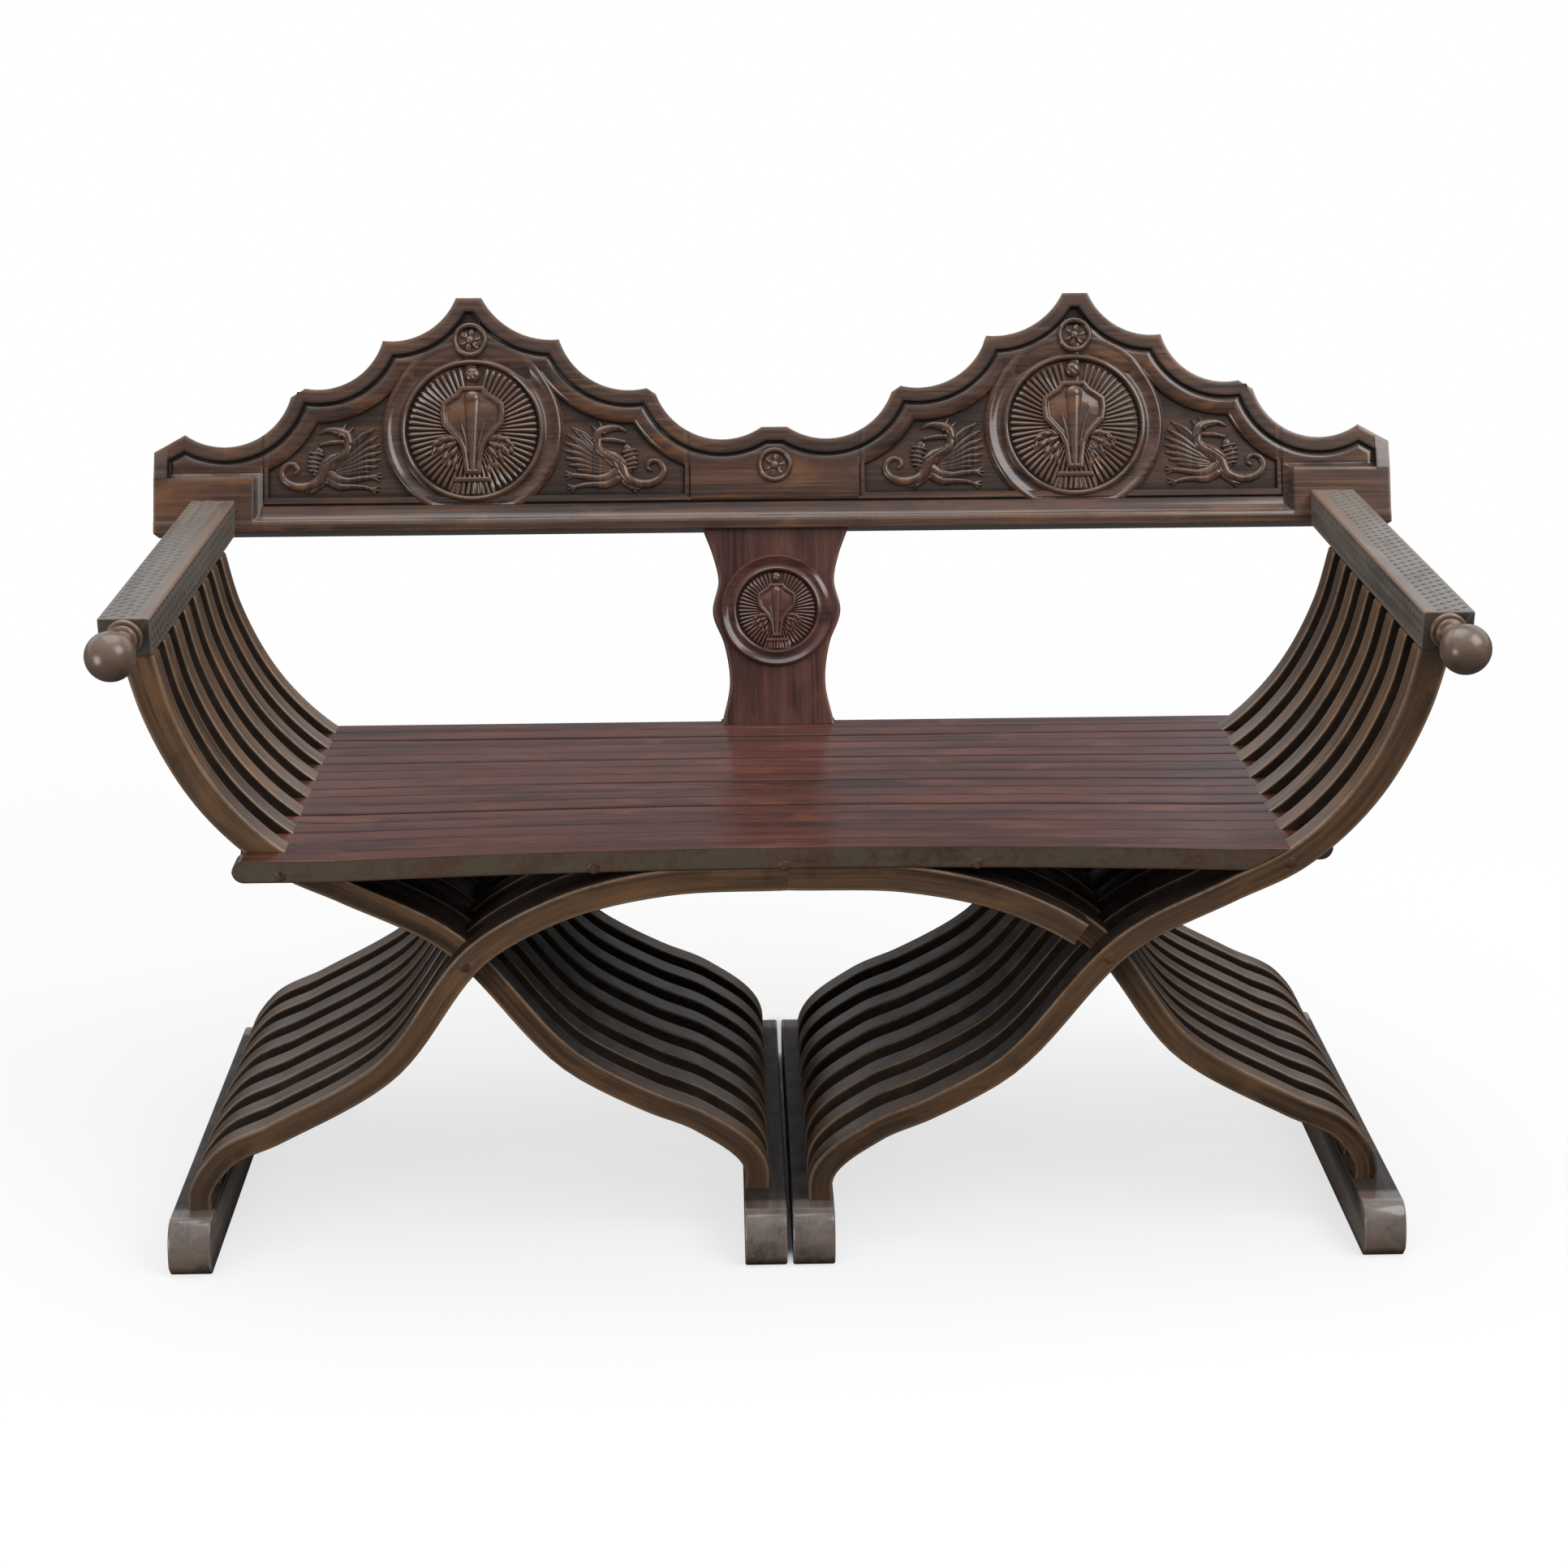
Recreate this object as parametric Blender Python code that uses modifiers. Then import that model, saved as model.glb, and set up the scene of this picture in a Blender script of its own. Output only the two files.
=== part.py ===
"""Savonarola settee: a two-seat slatted X-frame bench with a carved, scalloped crest.

Sixteen upright planes of slats lie one behind the other. In the even planes the seat slat runs out
to the left, the left foot slat and the right arm slat are cut from the same plane; the odd planes
are the mirror image. The S-curved slats of neighbouring planes therefore pass each other like the
fingers of two hands, and long rods tie them where they cross and where they meet the seat.

Units are metres, +Z is up and +Y points to the back. Left and right are the viewer's.
"""

import math

import bmesh
import bpy
from mathutils import Matrix, Vector
from mathutils.geometry import interpolate_bezier, intersect_line_line_2d

# General sizes
GAP = 0.0003
SLAT_THICKNESS = 0.027
PLANES = 16
BORE_SIDES = 8
FACET_TOLERANCE = 0.00080

# Seat: each slat runs on past the rod through it
SEAT_TOP = 0.453
SEAT_SLAT_HEIGHT = 0.024
SEAT_OVERHANG = 0.0495

# Arm slats: centre line from the inner runner, through the crossing and the seat, up to the arm.
# A node is a share of the way from foot to top and a level: 0 runner, 1 seat top, 2 arm.
ARM_SLAT_SHARES = [(0.0000, 0.0554), (0.0945, 0.2015), (0.1840, 0.2645), (0.2964, 0.3627),
                   (0.5358, 0.7607), (0.6906, 0.8854), (0.7932, 0.9673), (0.8876, 1.2038),
                   (0.9756, 1.7014)]
ARM_SLAT_HALF_WIDTHS = (0.0130, 0.0128, 0.0163)
ARM_SLAT_FOOT_OFFSET = 0.0085
ARM_SLAT_TOP_OFFSET = 0.010

# Foot slats: centre line from the outer runner, through the crossing, into the arch under the seat.
# A node is a share of the way from the middle to the foot and a level, as above.
FOOT_SLAT_SHARES = [(1.0000, 0.0252), (0.9554, 0.1461), (0.8646, 0.2204), (0.6815, 0.3892),
                    (0.4936, 0.7530), (0.3535, 0.8680), (0.2054, 0.9240), (0.0000, 0.9388)]
FOOT_SLAT_HALF_WIDTHS = (0.0120, 0.0131, 0.0155)
FOOT_SLAT_FOOT_OFFSET = 0.0065
# On the front and the back face the arch runs on past the middle, to a share of the way to the other foot
ARCH_END_SHARE = 0.486

# Tenons at the ends of the slats
TENON_HALF_WIDTH = 0.008
TENON_DEPTH = 0.010

# Rods: the seat rod lies at a share of the seat slat's height
ROD_RADIUS = 0.004
ROD_RECESS = 0.002
SEAT_ROD_SHARE = 1 / 3

# Runners
RUNNER_WIDTH = 0.045
RUNNER_HEIGHT = 0.056
RUNNER_INNER_X = 0.0255
RUNNER_INSET = 0.0235
TOE_LEDGE = 0.018
TOE_BULGE = 0.027
TOE_BEVEL_HEIGHT = 0.010
TOE_BEVEL_RUN = 0.007
TOE_STEPS = 5

# Arms
ARM_UNDERSIDE = 0.664
ARM_HEIGHT = 0.040
ARM_WIDTH = 0.052
ARM_INSET = 0.069
ARM_PROUD = 0.002
ARM_TENON_WIDTH = 0.024
ARM_TENON_HEIGHT = 0.018
ARM_TENON_DEPTH = 0.014
COLLAR_RADIUS = 0.0185
COLLAR_LENGTH = 0.005
BEAD_RADIUS = 0.0145
BEAD_LENGTH = 0.006
NECK_RADIUS = 0.0095
BALL_RADIUS = 0.025
BALL_REACH = 0.065
BALL_RINGS = 7
TURNED_SIDES = 14
TURNED_EMBED = 0.010

# Crest: a raked board, measured along its own height from a reference line above the arms
RAKE = math.radians(23.2)
CREST_RISE = 0.066
CREST_BOTTOM = -0.0903
CREST_THICKNESS = 0.030
CREST_RAIL_PROUD = 0.005
# Corners of the right half from the middle to the end, each with the depth of the scallop after it
CREST_CORNERS = [(0.0000, 0.0305, 0.0), (0.0150, 0.0305, 0.032), (0.1390, 0.0705, 0.0),
                 (0.1500, 0.0780, 0.0235), (0.2525, 0.1370, 0.016), (0.3435, 0.1872, 0.0),
                 (0.3735, 0.1872, 0.017), (0.4595, 0.1370, 0.021), (0.5505, 0.0810, 0.0),
                 (0.5675, 0.0705, 0.034), (0.6910, 0.0270, 0.0), (0.7270, 0.0065, 0.0)]
SCALLOP_STEPS = 6

# Crest face: border band, field, sunk panels, lower rail and end blocks
BORDER_WIDTH = 0.019
FIELD_DEPTH = 0.0025
FIELD_STEPS = 40
PANEL_INSET = 0.039
PANEL_DEPTH = 0.009
PANEL_INNER_X = 0.1065
PANEL_OUTER_X = 0.594
PANEL_BOTTOM = -0.053
PANEL_SHOULDER = 0.080
PANEL_STEPS = 34
RAIL_TOP = -0.075
RAIL_COVE_TOP = -0.059
RAIL_COVE_STEPS = 4
RAIL_QUIRK = 0.0012
FIELD_MARGIN = 0.003
END_BLOCK_WIDTH = 0.114
END_BLOCK_TOP = -0.030

# Medallions and rosettes, turned on the face: a medallion's rim laps onto the rail
MEDALLION_X = 0.355
MEDALLION_LEVEL = 0.030
MEDALLION_LAP = 0.002
MEDALLION_DISC_SHARE = 0.72
MEDALLION_DISC_DEPTH = 0.0065
MEDALLION_SIDES = 32
ROSETTE_X = 0.357
ROSETTE_LEVEL = 0.137
MIDDLE_ROSETTE_LEVEL = -0.0147
ROSETTE_RADIUS = 0.021
ROSETTE_SIDES = 10
TURNED_BED = 0.003

# Splat: half widths at shares of its height, from its foot on the seat to its top under the crest
SPLAT_THICKNESS = 0.020
SPLAT_SETBACK = 0.004
SPLAT_FOOT_INSET = 0.0199
SPLAT_FOOT_HALF_WIDTH = 0.0665
SPLAT_HALF_WIDTHS = (0.0560, 0.0620, 0.0750, 0.0680, 0.0745)
SPLAT_SHARES = (0.2285, 0.4220, 0.5811, 0.7445, 0.8779)
SPLAT_TOP_HALF_WIDTH = 0.0850
SPLAT_TENON_HALF_WIDTH = 0.050
SPLAT_TENON_DEPTH = 0.016
SPLAT_FOOT_TENON_WIDTH = 0.060
SPLAT_FOOT_TENON_THICKNESS = 0.010
SPLAT_MEDALLION_SHARE = 0.5854
SPLAT_MEDALLION_RADIUS = 0.066
SPLAT_DISC_RADIUS = 0.046
SPLAT_MEDALLION_RISE = 0.004
SPLAT_MEDALLION_SIDES = 24

# Worked out from the sizes above
PITCH = SLAT_THICKNESS + GAP
SEAT_DEPTH = PLANES * PITCH
SEAT_BOTTOM = SEAT_TOP - SEAT_SLAT_HEIGHT
SEAT_ROD_HEIGHT = SEAT_BOTTOM + SEAT_SLAT_HEIGHT * SEAT_ROD_SHARE
CREST_LEVEL = ARM_UNDERSIDE + ARM_HEIGHT / 2 + CREST_RISE
CREST_Y = SEAT_DEPTH - SPLAT_FOOT_INSET + (CREST_LEVEL - SEAT_TOP) * math.tan(RAKE)
SPLAT_FOOT = (SEAT_TOP - CREST_LEVEL) / math.cos(RAKE)
SPLAT_SHOULDER = CREST_BOTTOM - GAP
ARM_CENTRE_X = CREST_CORNERS[-1][0] - ARM_INSET
RUNNER_OUTER_X = ARM_CENTRE_X - RUNNER_INSET
ARM_SLAT_FOOT_X = RUNNER_INNER_X + ARM_SLAT_FOOT_OFFSET
ARM_SLAT_TOP_X = ARM_CENTRE_X - ARM_SLAT_TOP_OFFSET
FOOT_SLAT_FOOT_X = RUNNER_OUTER_X - FOOT_SLAT_FOOT_OFFSET
MEDALLION_RADIUS = MEDALLION_LEVEL - RAIL_TOP + MEDALLION_LAP
MEDALLION_DISC_RADIUS = MEDALLION_RADIUS * MEDALLION_DISC_SHARE
APEX_LEVEL = max(level for _, level, _ in CREST_CORNERS)
FRONT_Y = -ARM_PROUD - BALL_REACH - BALL_RADIUS
BACK_Y = CREST_Y + APEX_LEVEL * math.sin(RAKE) + CREST_THICKNESS * math.cos(RAKE)
MIDDLE_Y = (FRONT_Y + BACK_Y) / 2

UPRIGHT = (math.pi / 2, 0.0, 0.0)
SIDEWAYS = (math.pi / 2, 0.0, math.pi / 2)
RAKED = (math.pi / 2 - RAKE, 0.0, 0.0)


# Scene set-up


def clear_scene():
    """Remove every object of the open scene."""
    for thing in list(bpy.data.objects):
        bpy.data.objects.remove(thing, do_unlink=True)


def make_collection(name):
    """Add a collection to the scene."""
    collection = bpy.data.collections.new(name)
    bpy.context.scene.collection.children.link(collection)
    return collection


def make_material(name, colour, roughness):
    """A varnished wood with one colour and roughness."""
    material = bpy.data.materials.new(name)
    material.use_nodes = True
    shader = material.node_tree.nodes["Principled BSDF"]
    shader.inputs["Base Color"].default_value = (*colour, 1.0)
    shader.inputs["Roughness"].default_value = roughness
    shader.inputs["Metallic"].default_value = 0.0
    return material


def place(name, mesh, location=(0.0, 0.0, 0.0), rotation=(0.0, 0.0, 0.0)):
    """Add a finished piece to the settee."""
    piece = bpy.data.objects.new(name, mesh)
    piece.location = location
    piece.rotation_euler = rotation
    piece.parent = settee
    parts.objects.link(piece)
    return piece


def tool(name, mesh, location=(0.0, 0.0, 0.0), rotation=(0.0, 0.0, 0.0)):
    """Add a hidden body that cuts, or is joined to, a piece."""
    body = bpy.data.objects.new(name, mesh)
    body.location = location
    body.rotation_euler = rotation
    body.parent = settee
    body.hide_render = True
    body.display_type = "WIRE"
    tools.objects.link(body)
    return body


def combine(piece, body, operation):
    """Give a piece a Boolean modifier that cuts away or joins a hidden body."""
    modifier = piece.modifiers.new(body.name, "BOOLEAN")
    modifier.operation = operation
    modifier.object = body


# Shapes


def plate(name, outline, thickness, material=None, holes=()):
    """A flat board in the XY plane, centred on it, with holes through it."""
    curve = bpy.data.curves.new(name, "CURVE")
    curve.dimensions = "2D"
    curve.fill_mode = "BOTH"
    curve_half = thickness / 2
    curve.extrude = curve_half
    for loop in (outline, *holes):
        spline = curve.splines.new("POLY")
        spline.points.add(len(loop) - 1)
        for point, (x, y) in zip(spline.points, loop):
            point.co = (x, y, 0.0, 1.0)
        spline.use_cyclic_u = True
    holder = bpy.data.objects.new(name, curve)
    bpy.context.scene.collection.objects.link(holder)
    evaluated = holder.evaluated_get(bpy.context.evaluated_depsgraph_get())
    mesh = bpy.data.meshes.new_from_object(evaluated)
    bpy.data.objects.remove(holder, do_unlink=True)
    bpy.data.curves.remove(curve)
    mesh.name = name
    shape = bmesh.new()
    shape.from_mesh(mesh)
    bmesh.ops.remove_doubles(shape, verts=shape.verts, dist=0.00001)
    for level in (() if holes else (-curve_half, curve_half)):
        cap = [face for face in shape.faces if all(abs(v.co.z - level) < GAP / 10 for v in face.verts)]
        bmesh.ops.dissolve_faces(shape, faces=cap)
    bmesh.ops.recalc_face_normals(shape, faces=shape.faces)
    shape.to_mesh(mesh)
    shape.free()
    if material:
        mesh.materials.append(material)
    return mesh


def boxes(name, blocks):
    """Separate boxes in one mesh, each given by its centre and its size."""
    mesh = bpy.data.meshes.new(name)
    shape = bmesh.new()
    for centre, size in blocks:
        matrix = Matrix.Translation(centre) @ Matrix.Diagonal((*size, 1.0))
        bmesh.ops.create_cube(shape, size=1.0, matrix=matrix)
    shape.to_mesh(mesh)
    shape.free()
    return mesh


def turned(name, profile, sides):
    """A body turned about Z from a profile of radius and height that starts and ends on the axis."""
    mesh = bpy.data.meshes.new(name)
    points = [(radius, 0.0, height) for radius, height in profile]
    mesh.from_pydata(points, [(i, i + 1) for i in range(len(points) - 1)], [])
    holder = bpy.data.objects.new(name, mesh)
    bpy.context.scene.collection.objects.link(holder)
    screw = holder.modifiers.new("Turn", "SCREW")
    screw.axis = "Z"
    screw.steps = sides
    screw.render_steps = sides
    screw.use_merge_vertices = True
    screw.merge_threshold = 0.00001
    evaluated = holder.evaluated_get(bpy.context.evaluated_depsgraph_get())
    body = bpy.data.meshes.new_from_object(evaluated)
    bpy.data.objects.remove(holder, do_unlink=True)
    bpy.data.meshes.remove(mesh)
    body.name = name
    return body


def gather(name, mesh, centres):
    """Copies of one mesh at several places of its own plane, in one mesh."""
    shape = bmesh.new()
    for x, y in centres:
        start = len(shape.verts)
        shape.from_mesh(mesh)
        shape.verts.ensure_lookup_table()
        bmesh.ops.translate(shape, verts=shape.verts[start:], vec=(x, y, 0.0))
    joined = bpy.data.meshes.new(name)
    shape.to_mesh(joined)
    shape.free()
    return joined


# Outlines


def smooth_path(nodes, steps=16):
    """Points along a smooth curve through the nodes."""
    nodes = [Vector(node) for node in nodes]
    spans = [(b - a).length for a, b in zip(nodes, nodes[1:])]
    slopes = [(b - a) / span for a, b, span in zip(nodes, nodes[1:], spans)]
    tangents = [slopes[0]]
    for before, after, near, far in zip(slopes, slopes[1:], spans, spans[1:]):
        tangents.append((before * far + after * near) / (near + far))
    tangents.append(slopes[-1])
    path = []
    for i, span in enumerate(spans):
        leave = nodes[i] + tangents[i] * span / 3
        arrive = nodes[i + 1] - tangents[i + 1] * span / 3
        path += interpolate_bezier(nodes[i], leave, arrive, nodes[i + 1], steps + 1)[:-1]
    return [Vector(point[:2]) for point in path] + [nodes[-1]]


def simplified(path, first=0, last=-1):
    """Indexes of the points whose chords stay within the facet tolerance of a path."""
    last = last % len(path)
    chord = (path[last] - path[first]).normalized()
    offsets = {i: abs(chord.cross(path[i] - path[first])) for i in range(first + 1, last)}
    if not offsets or max(offsets.values()) < FACET_TOLERANCE:
        return [first, last]
    far = max(offsets, key=offsets.get)
    return simplified(path, first, far)[:-1] + simplified(path, far, last)


def strip_edge(path, half_widths, side, extra=0.0):
    """One edge of a strip along a path: side is 1 for its left and -1 for its right."""
    first, middle, last = half_widths
    edge = []
    for i, point in enumerate(path):
        share = i / (len(path) - 1)
        half = (first * (1 - share) * (1 - 2 * share) + middle * 4 * share * (1 - share)
                + last * share * (2 * share - 1))
        along = path[min(i + 1, len(path) - 1)] - path[max(i - 1, 0)]
        normal = Vector((-along.y, along.x)).normalized()
        edge.append(point + normal * side * (half + extra))
    return edge


def mirrored(outline):
    """The same outline on the other side of the middle."""
    return [(-x, y) for x, y in outline]


def ring(centre, radius, sides=BORE_SIDES):
    """A regular polygon round a centre."""
    steps = [2 * math.pi * k / sides for k in range(sides)]
    return [(centre[0] + radius * math.cos(a), centre[1] + radius * math.sin(a)) for a in steps]


def scallop_circle(start, end, depth):
    """Centre and radius of the circle through two corners that dips below their straight line."""
    start, end = Vector(start), Vector(end)
    chord = end - start
    radius = (chord.length_squared / 4 + depth ** 2) / (2 * depth)
    below = Vector((chord.y, -chord.x)).normalized()
    return (start + end) / 2 - below * (radius - depth), radius


def scallop_points(start, end, depth):
    """Points from one corner up to, but without, the next along the scallop between them."""
    if depth == 0.0:
        return [start]
    centre, radius = scallop_circle(start, end, depth)
    angles = [math.atan2(y - centre.y, x - centre.x) for x, y in (start, end)]
    steps = [angles[0] + (angles[1] - angles[0]) * k / SCALLOP_STEPS for k in range(SCALLOP_STEPS)]
    return [(centre.x + radius * math.cos(a), centre.y + radius * math.sin(a)) for a in steps]


# Slats


def level_height(level):
    """Height of a level of the slats: 0 is the runners' top, 1 the seat's top, 2 the arms' underside."""
    if level <= 1.0:
        return RUNNER_HEIGHT + (SEAT_TOP - RUNNER_HEIGHT) * level
    return SEAT_TOP + (ARM_UNDERSIDE - SEAT_TOP) * (level - 1.0)


def arm_slat_path():
    """Centre line of the right arm slat, from its tenon in the runner to the one in the arm."""
    foot = (ARM_SLAT_FOOT_X, RUNNER_HEIGHT + GAP)
    top = (ARM_SLAT_TOP_X, ARM_UNDERSIDE - GAP)
    reach = ARM_SLAT_TOP_X - ARM_SLAT_FOOT_X
    nodes = [(ARM_SLAT_FOOT_X + reach * share, level_height(level)) for share, level in ARM_SLAT_SHARES]
    return smooth_path([foot, *nodes, top])


def foot_slat_path():
    """Centre line of the right foot slat, from its tenon in the runner to the middle of the arch."""
    foot = (FOOT_SLAT_FOOT_X, RUNNER_HEIGHT + GAP)
    nodes = [(FOOT_SLAT_FOOT_X * share, level_height(level)) for share, level in FOOT_SLAT_SHARES]
    return smooth_path([foot, *nodes])


def crossing_point():
    """Where the centre lines of the two slats cross."""
    one, other = arm_slat_path(), foot_slat_path()
    for a, b in zip(one, one[1:]):
        for c, d in zip(other, other[1:]):
            meeting = intersect_line_line_2d(a, b, c, d)
            if meeting:
                return meeting
    raise ValueError("the slats do not cross")


def seat_rod_point():
    """Where the arm slat's centre line passes the height of the rod through the seat."""
    path = arm_slat_path()
    for a, b in zip(path, path[1:]):
        if a.y <= SEAT_ROD_HEIGHT < b.y:
            return a.lerp(b, (SEAT_ROD_HEIGHT - a.y) / (b.y - a.y))
    raise ValueError("the seat rod misses the arm slat")


def tenon(x, shoulder, way):
    """The four corners of a tenon on an end at a height: way is 1 upward and -1 downward."""
    tip = shoulder + way * TENON_DEPTH
    half = TENON_HALF_WIDTH * way
    return [(x - half, shoulder), (x - half, tip), (x + half, tip), (x + half, shoulder)]


def arm_slat_outline():
    """Outline of the right arm slat with a tenon at both ends."""
    path = arm_slat_path()
    kept = simplified(path)
    left = [strip_edge(path, ARM_SLAT_HALF_WIDTHS, 1)[i] for i in kept]
    right = [strip_edge(path, ARM_SLAT_HALF_WIDTHS, -1)[i] for i in kept]
    foot, top = RUNNER_HEIGHT + GAP, ARM_UNDERSIDE - GAP
    for edge in (left, right):
        edge[0].y = foot
        edge[-1].y = top
    outline = left + [Vector(p) for p in tenon(ARM_SLAT_TOP_X, top, 1)] + right[::-1]
    return [tuple(p) for p in outline] + tenon(ARM_SLAT_FOOT_X, foot, -1)


def foot_slat_edges(first=0):
    """Points of the lower and the upper edge of the right foot slat, from a point of its path to the middle."""
    path = foot_slat_path()
    kept = sorted({first} | {i for i in simplified(path) if i > first})
    ceiling = SEAT_BOTTOM - GAP
    lower = strip_edge(path, FOOT_SLAT_HALF_WIDTHS, 1)
    upper = strip_edge(path, FOOT_SLAT_HALF_WIDTHS, -1)
    rising = [upper[i] for i in kept if upper[i].y < ceiling]
    for a, b in zip(upper, upper[1:]):
        if a.y < ceiling <= b.y:
            rising.append(a.lerp(b, (ceiling - a.y) / (b.y - a.y)))
    return [lower[i] for i in kept], rising


def foot_slat_outline(across=False):
    """Outline of the right foot slat: a tenon at the foot, the arch planed flat under the seat.

    Across, it runs on past the middle, as the arches of the front and the back face do.
    """
    lower, rising = foot_slat_edges()
    foot = RUNNER_HEIGHT + GAP
    lower[0].y = foot
    rising[0].y = foot
    beyond = [(0.0, SEAT_BOTTOM - GAP)]
    if across:
        end = FOOT_SLAT_FOOT_X * ARCH_END_SHARE
        first = next(i for i, point in enumerate(foot_slat_path()) if point.x <= end)
        far_lower, far_rising = foot_slat_edges(first)
        beyond = mirrored(far_lower[-2::-1] + far_rising)
    outline = [tuple(p) for p in lower] + beyond + [tuple(p) for p in rising[::-1]]
    return outline + [(-x, y) for x, y in tenon(-FOOT_SLAT_FOOT_X, foot, -1)][::-1]


def seat_slat_outline():
    """Outline of an even seat slat: a round nose at the left, a slant along the arm slat's edge."""
    radius = SEAT_SLAT_HEIGHT / 2
    centre = (radius - seat_rod_point().x - SEAT_OVERHANG, SEAT_TOP - radius)
    steps = [math.pi / 2 + math.pi * k / 6 for k in range(7)]
    nose = [(centre[0] + radius * math.cos(a), centre[1] + radius * math.sin(a)) for a in steps]
    path = arm_slat_path()
    whole = strip_edge(path, ARM_SLAT_HALF_WIDTHS, 1, GAP)
    edge = [whole[i] for i in simplified(path)]
    slant = []
    for a, b in zip(edge, edge[1:]):
        slant += [tuple(a)] if SEAT_BOTTOM < a.y < SEAT_TOP else []
        for height in (SEAT_BOTTOM, SEAT_TOP):
            if a.y <= height < b.y:
                slant.append(tuple(a.lerp(b, (height - a.y) / (b.y - a.y))))
    return nose + slant


def plane_y(plane):
    """Middle of a plane of slats."""
    return plane * PITCH + SLAT_THICKNESS / 2


def make_slats():
    """The seat slats, the arm slats and the foot slats, plane by plane."""
    cross = crossing_point()
    seat = seat_rod_point()
    bore = ROD_RADIUS + GAP
    arm_holes = [ring(cross, bore), ring(seat, bore)]
    foot_holes = [ring(cross, bore)]
    seat_holes = [mirrored(ring(seat, bore))]
    shapes = {}
    for side, turn in (("R", list), ("L", mirrored)):
        shapes["arm", side] = plate("Arm_slat_" + side, turn(arm_slat_outline()), SLAT_THICKNESS,
                                    slat_wood, [turn(hole) for hole in arm_holes])
        shapes["foot", side] = plate("Foot_slat_" + side, turn(foot_slat_outline()), SLAT_THICKNESS,
                                     slat_wood, [turn(hole) for hole in foot_holes])
        shapes["arch", side] = plate("Arch_slat_" + side, turn(foot_slat_outline(True)), SLAT_THICKNESS,
                                     slat_wood, [turn(hole) for hole in foot_holes])
        shapes["seat", side] = plate("Seat_slat_" + side, turn(seat_slat_outline()), SLAT_THICKNESS,
                                     seat_wood, [turn(hole) for hole in seat_holes])
    for plane in range(PLANES):
        arm_side, foot_side = ("R", "L") if plane % 2 == 0 else ("L", "R")
        spot = (0.0, plane_y(plane), 0.0)
        number = plane // 2 + 1
        place(f"arm_slat_{arm_side}_{number}", shapes["arm", arm_side], spot, UPRIGHT)
        foot_kind = "arch" if plane in (0, PLANES - 1) else "foot"
        place(f"foot_slat_{foot_side}_{number}", shapes[foot_kind, foot_side], spot, UPRIGHT)
        place(f"seat_slat_{plane + 1:02d}", shapes["seat", arm_side], spot, UPRIGHT)


def make_rods():
    """The four rods that tie the planes at the crossings and at the seat."""
    length = SEAT_DEPTH - GAP - 2 * ROD_RECESS
    for name, spot in (("rod_cross", crossing_point()), ("rod_seat", seat_rod_point())):
        for side, sign in (("R", 1), ("L", -1)):
            outline = [(sign * x, y) for x, y in ring(spot, ROD_RADIUS)]
            mesh = plate(name + "_" + side, outline, length, rod_wood)
            place(f"{name}_{side}", mesh, (0.0, (SEAT_DEPTH - GAP) / 2, 0.0), UPRIGHT)


# Runners


def slat_planes(side, kind):
    """Planes that hold the arm or the foot slats of one side."""
    first = 0 if (side == "R") == (kind == "arm") else 1
    return range(first, PLANES, 2)


def runner_profile():
    """Side view of a runner: a flat top between two bulging toes, bevelled underneath."""
    height = RUNNER_HEIGHT - TOE_BEVEL_HEIGHT
    toe = []
    for k in range(TOE_STEPS + 1):
        angle = math.pi / 2 * k / TOE_STEPS
        toe.append((-TOE_LEDGE - TOE_BULGE * math.sin(angle), TOE_BEVEL_HEIGHT + height * math.cos(angle)))
    toe.append((-TOE_LEDGE - TOE_BULGE + TOE_BEVEL_RUN, 0.0))
    heel = [(SEAT_DEPTH - y, z) for y, z in reversed(toe)]
    return toe + heel


def make_runner(name, x, slat_x, planes):
    """A foot runner with a mortise for each slat that stands on it."""
    mesh = plate(name, runner_profile(), RUNNER_WIDTH, foot_wood)
    runner = place(name, mesh, (x, 0.0, 0.0), SIDEWAYS)
    size = (2 * (TENON_HALF_WIDTH + GAP), SLAT_THICKNESS + 2 * GAP, 2 * (TENON_DEPTH + GAP))
    mortises = [((slat_x, plane_y(plane), RUNNER_HEIGHT), size) for plane in planes]
    combine(runner, tool(name + "_mortises", boxes(name + "_mortises", mortises)), "DIFFERENCE")


def make_runners():
    """Two inner and two outer runners."""
    for side, sign in (("R", 1), ("L", -1)):
        make_runner(f"runner_inner_{side}", sign * RUNNER_INNER_X, sign * ARM_SLAT_FOOT_X,
                    slat_planes(side, "arm"))
        make_runner(f"runner_outer_{side}", sign * RUNNER_OUTER_X, sign * FOOT_SLAT_FOOT_X,
                    slat_planes(side, "foot"))


# Arms


def crest_face_y(height, lift=0.0):
    """Y of the crest's face, or of a plane lifted off it, at a height."""
    return CREST_Y + (height - CREST_LEVEL) * math.tan(RAKE) - lift / math.cos(RAKE)


def knob_profile():
    """Radius and height of the turned arm end, from the front of the ball to inside the arm."""
    start = math.asin(NECK_RADIUS / BALL_RADIUS)
    profile = []
    for k in range(BALL_RINGS + 1):
        angle = (math.pi - start) * k / BALL_RINGS
        profile.append((BALL_RADIUS * math.sin(angle), BALL_REACH + BALL_RADIUS * math.cos(angle)))
    bead_front = COLLAR_LENGTH + BEAD_LENGTH
    profile += [(NECK_RADIUS, bead_front), (BEAD_RADIUS, bead_front - BEAD_LENGTH / 3),
                (BEAD_RADIUS, COLLAR_LENGTH), (COLLAR_RADIUS, COLLAR_LENGTH),
                (COLLAR_RADIUS, -TURNED_EMBED), (0.0, -TURNED_EMBED)]
    return profile


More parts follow.
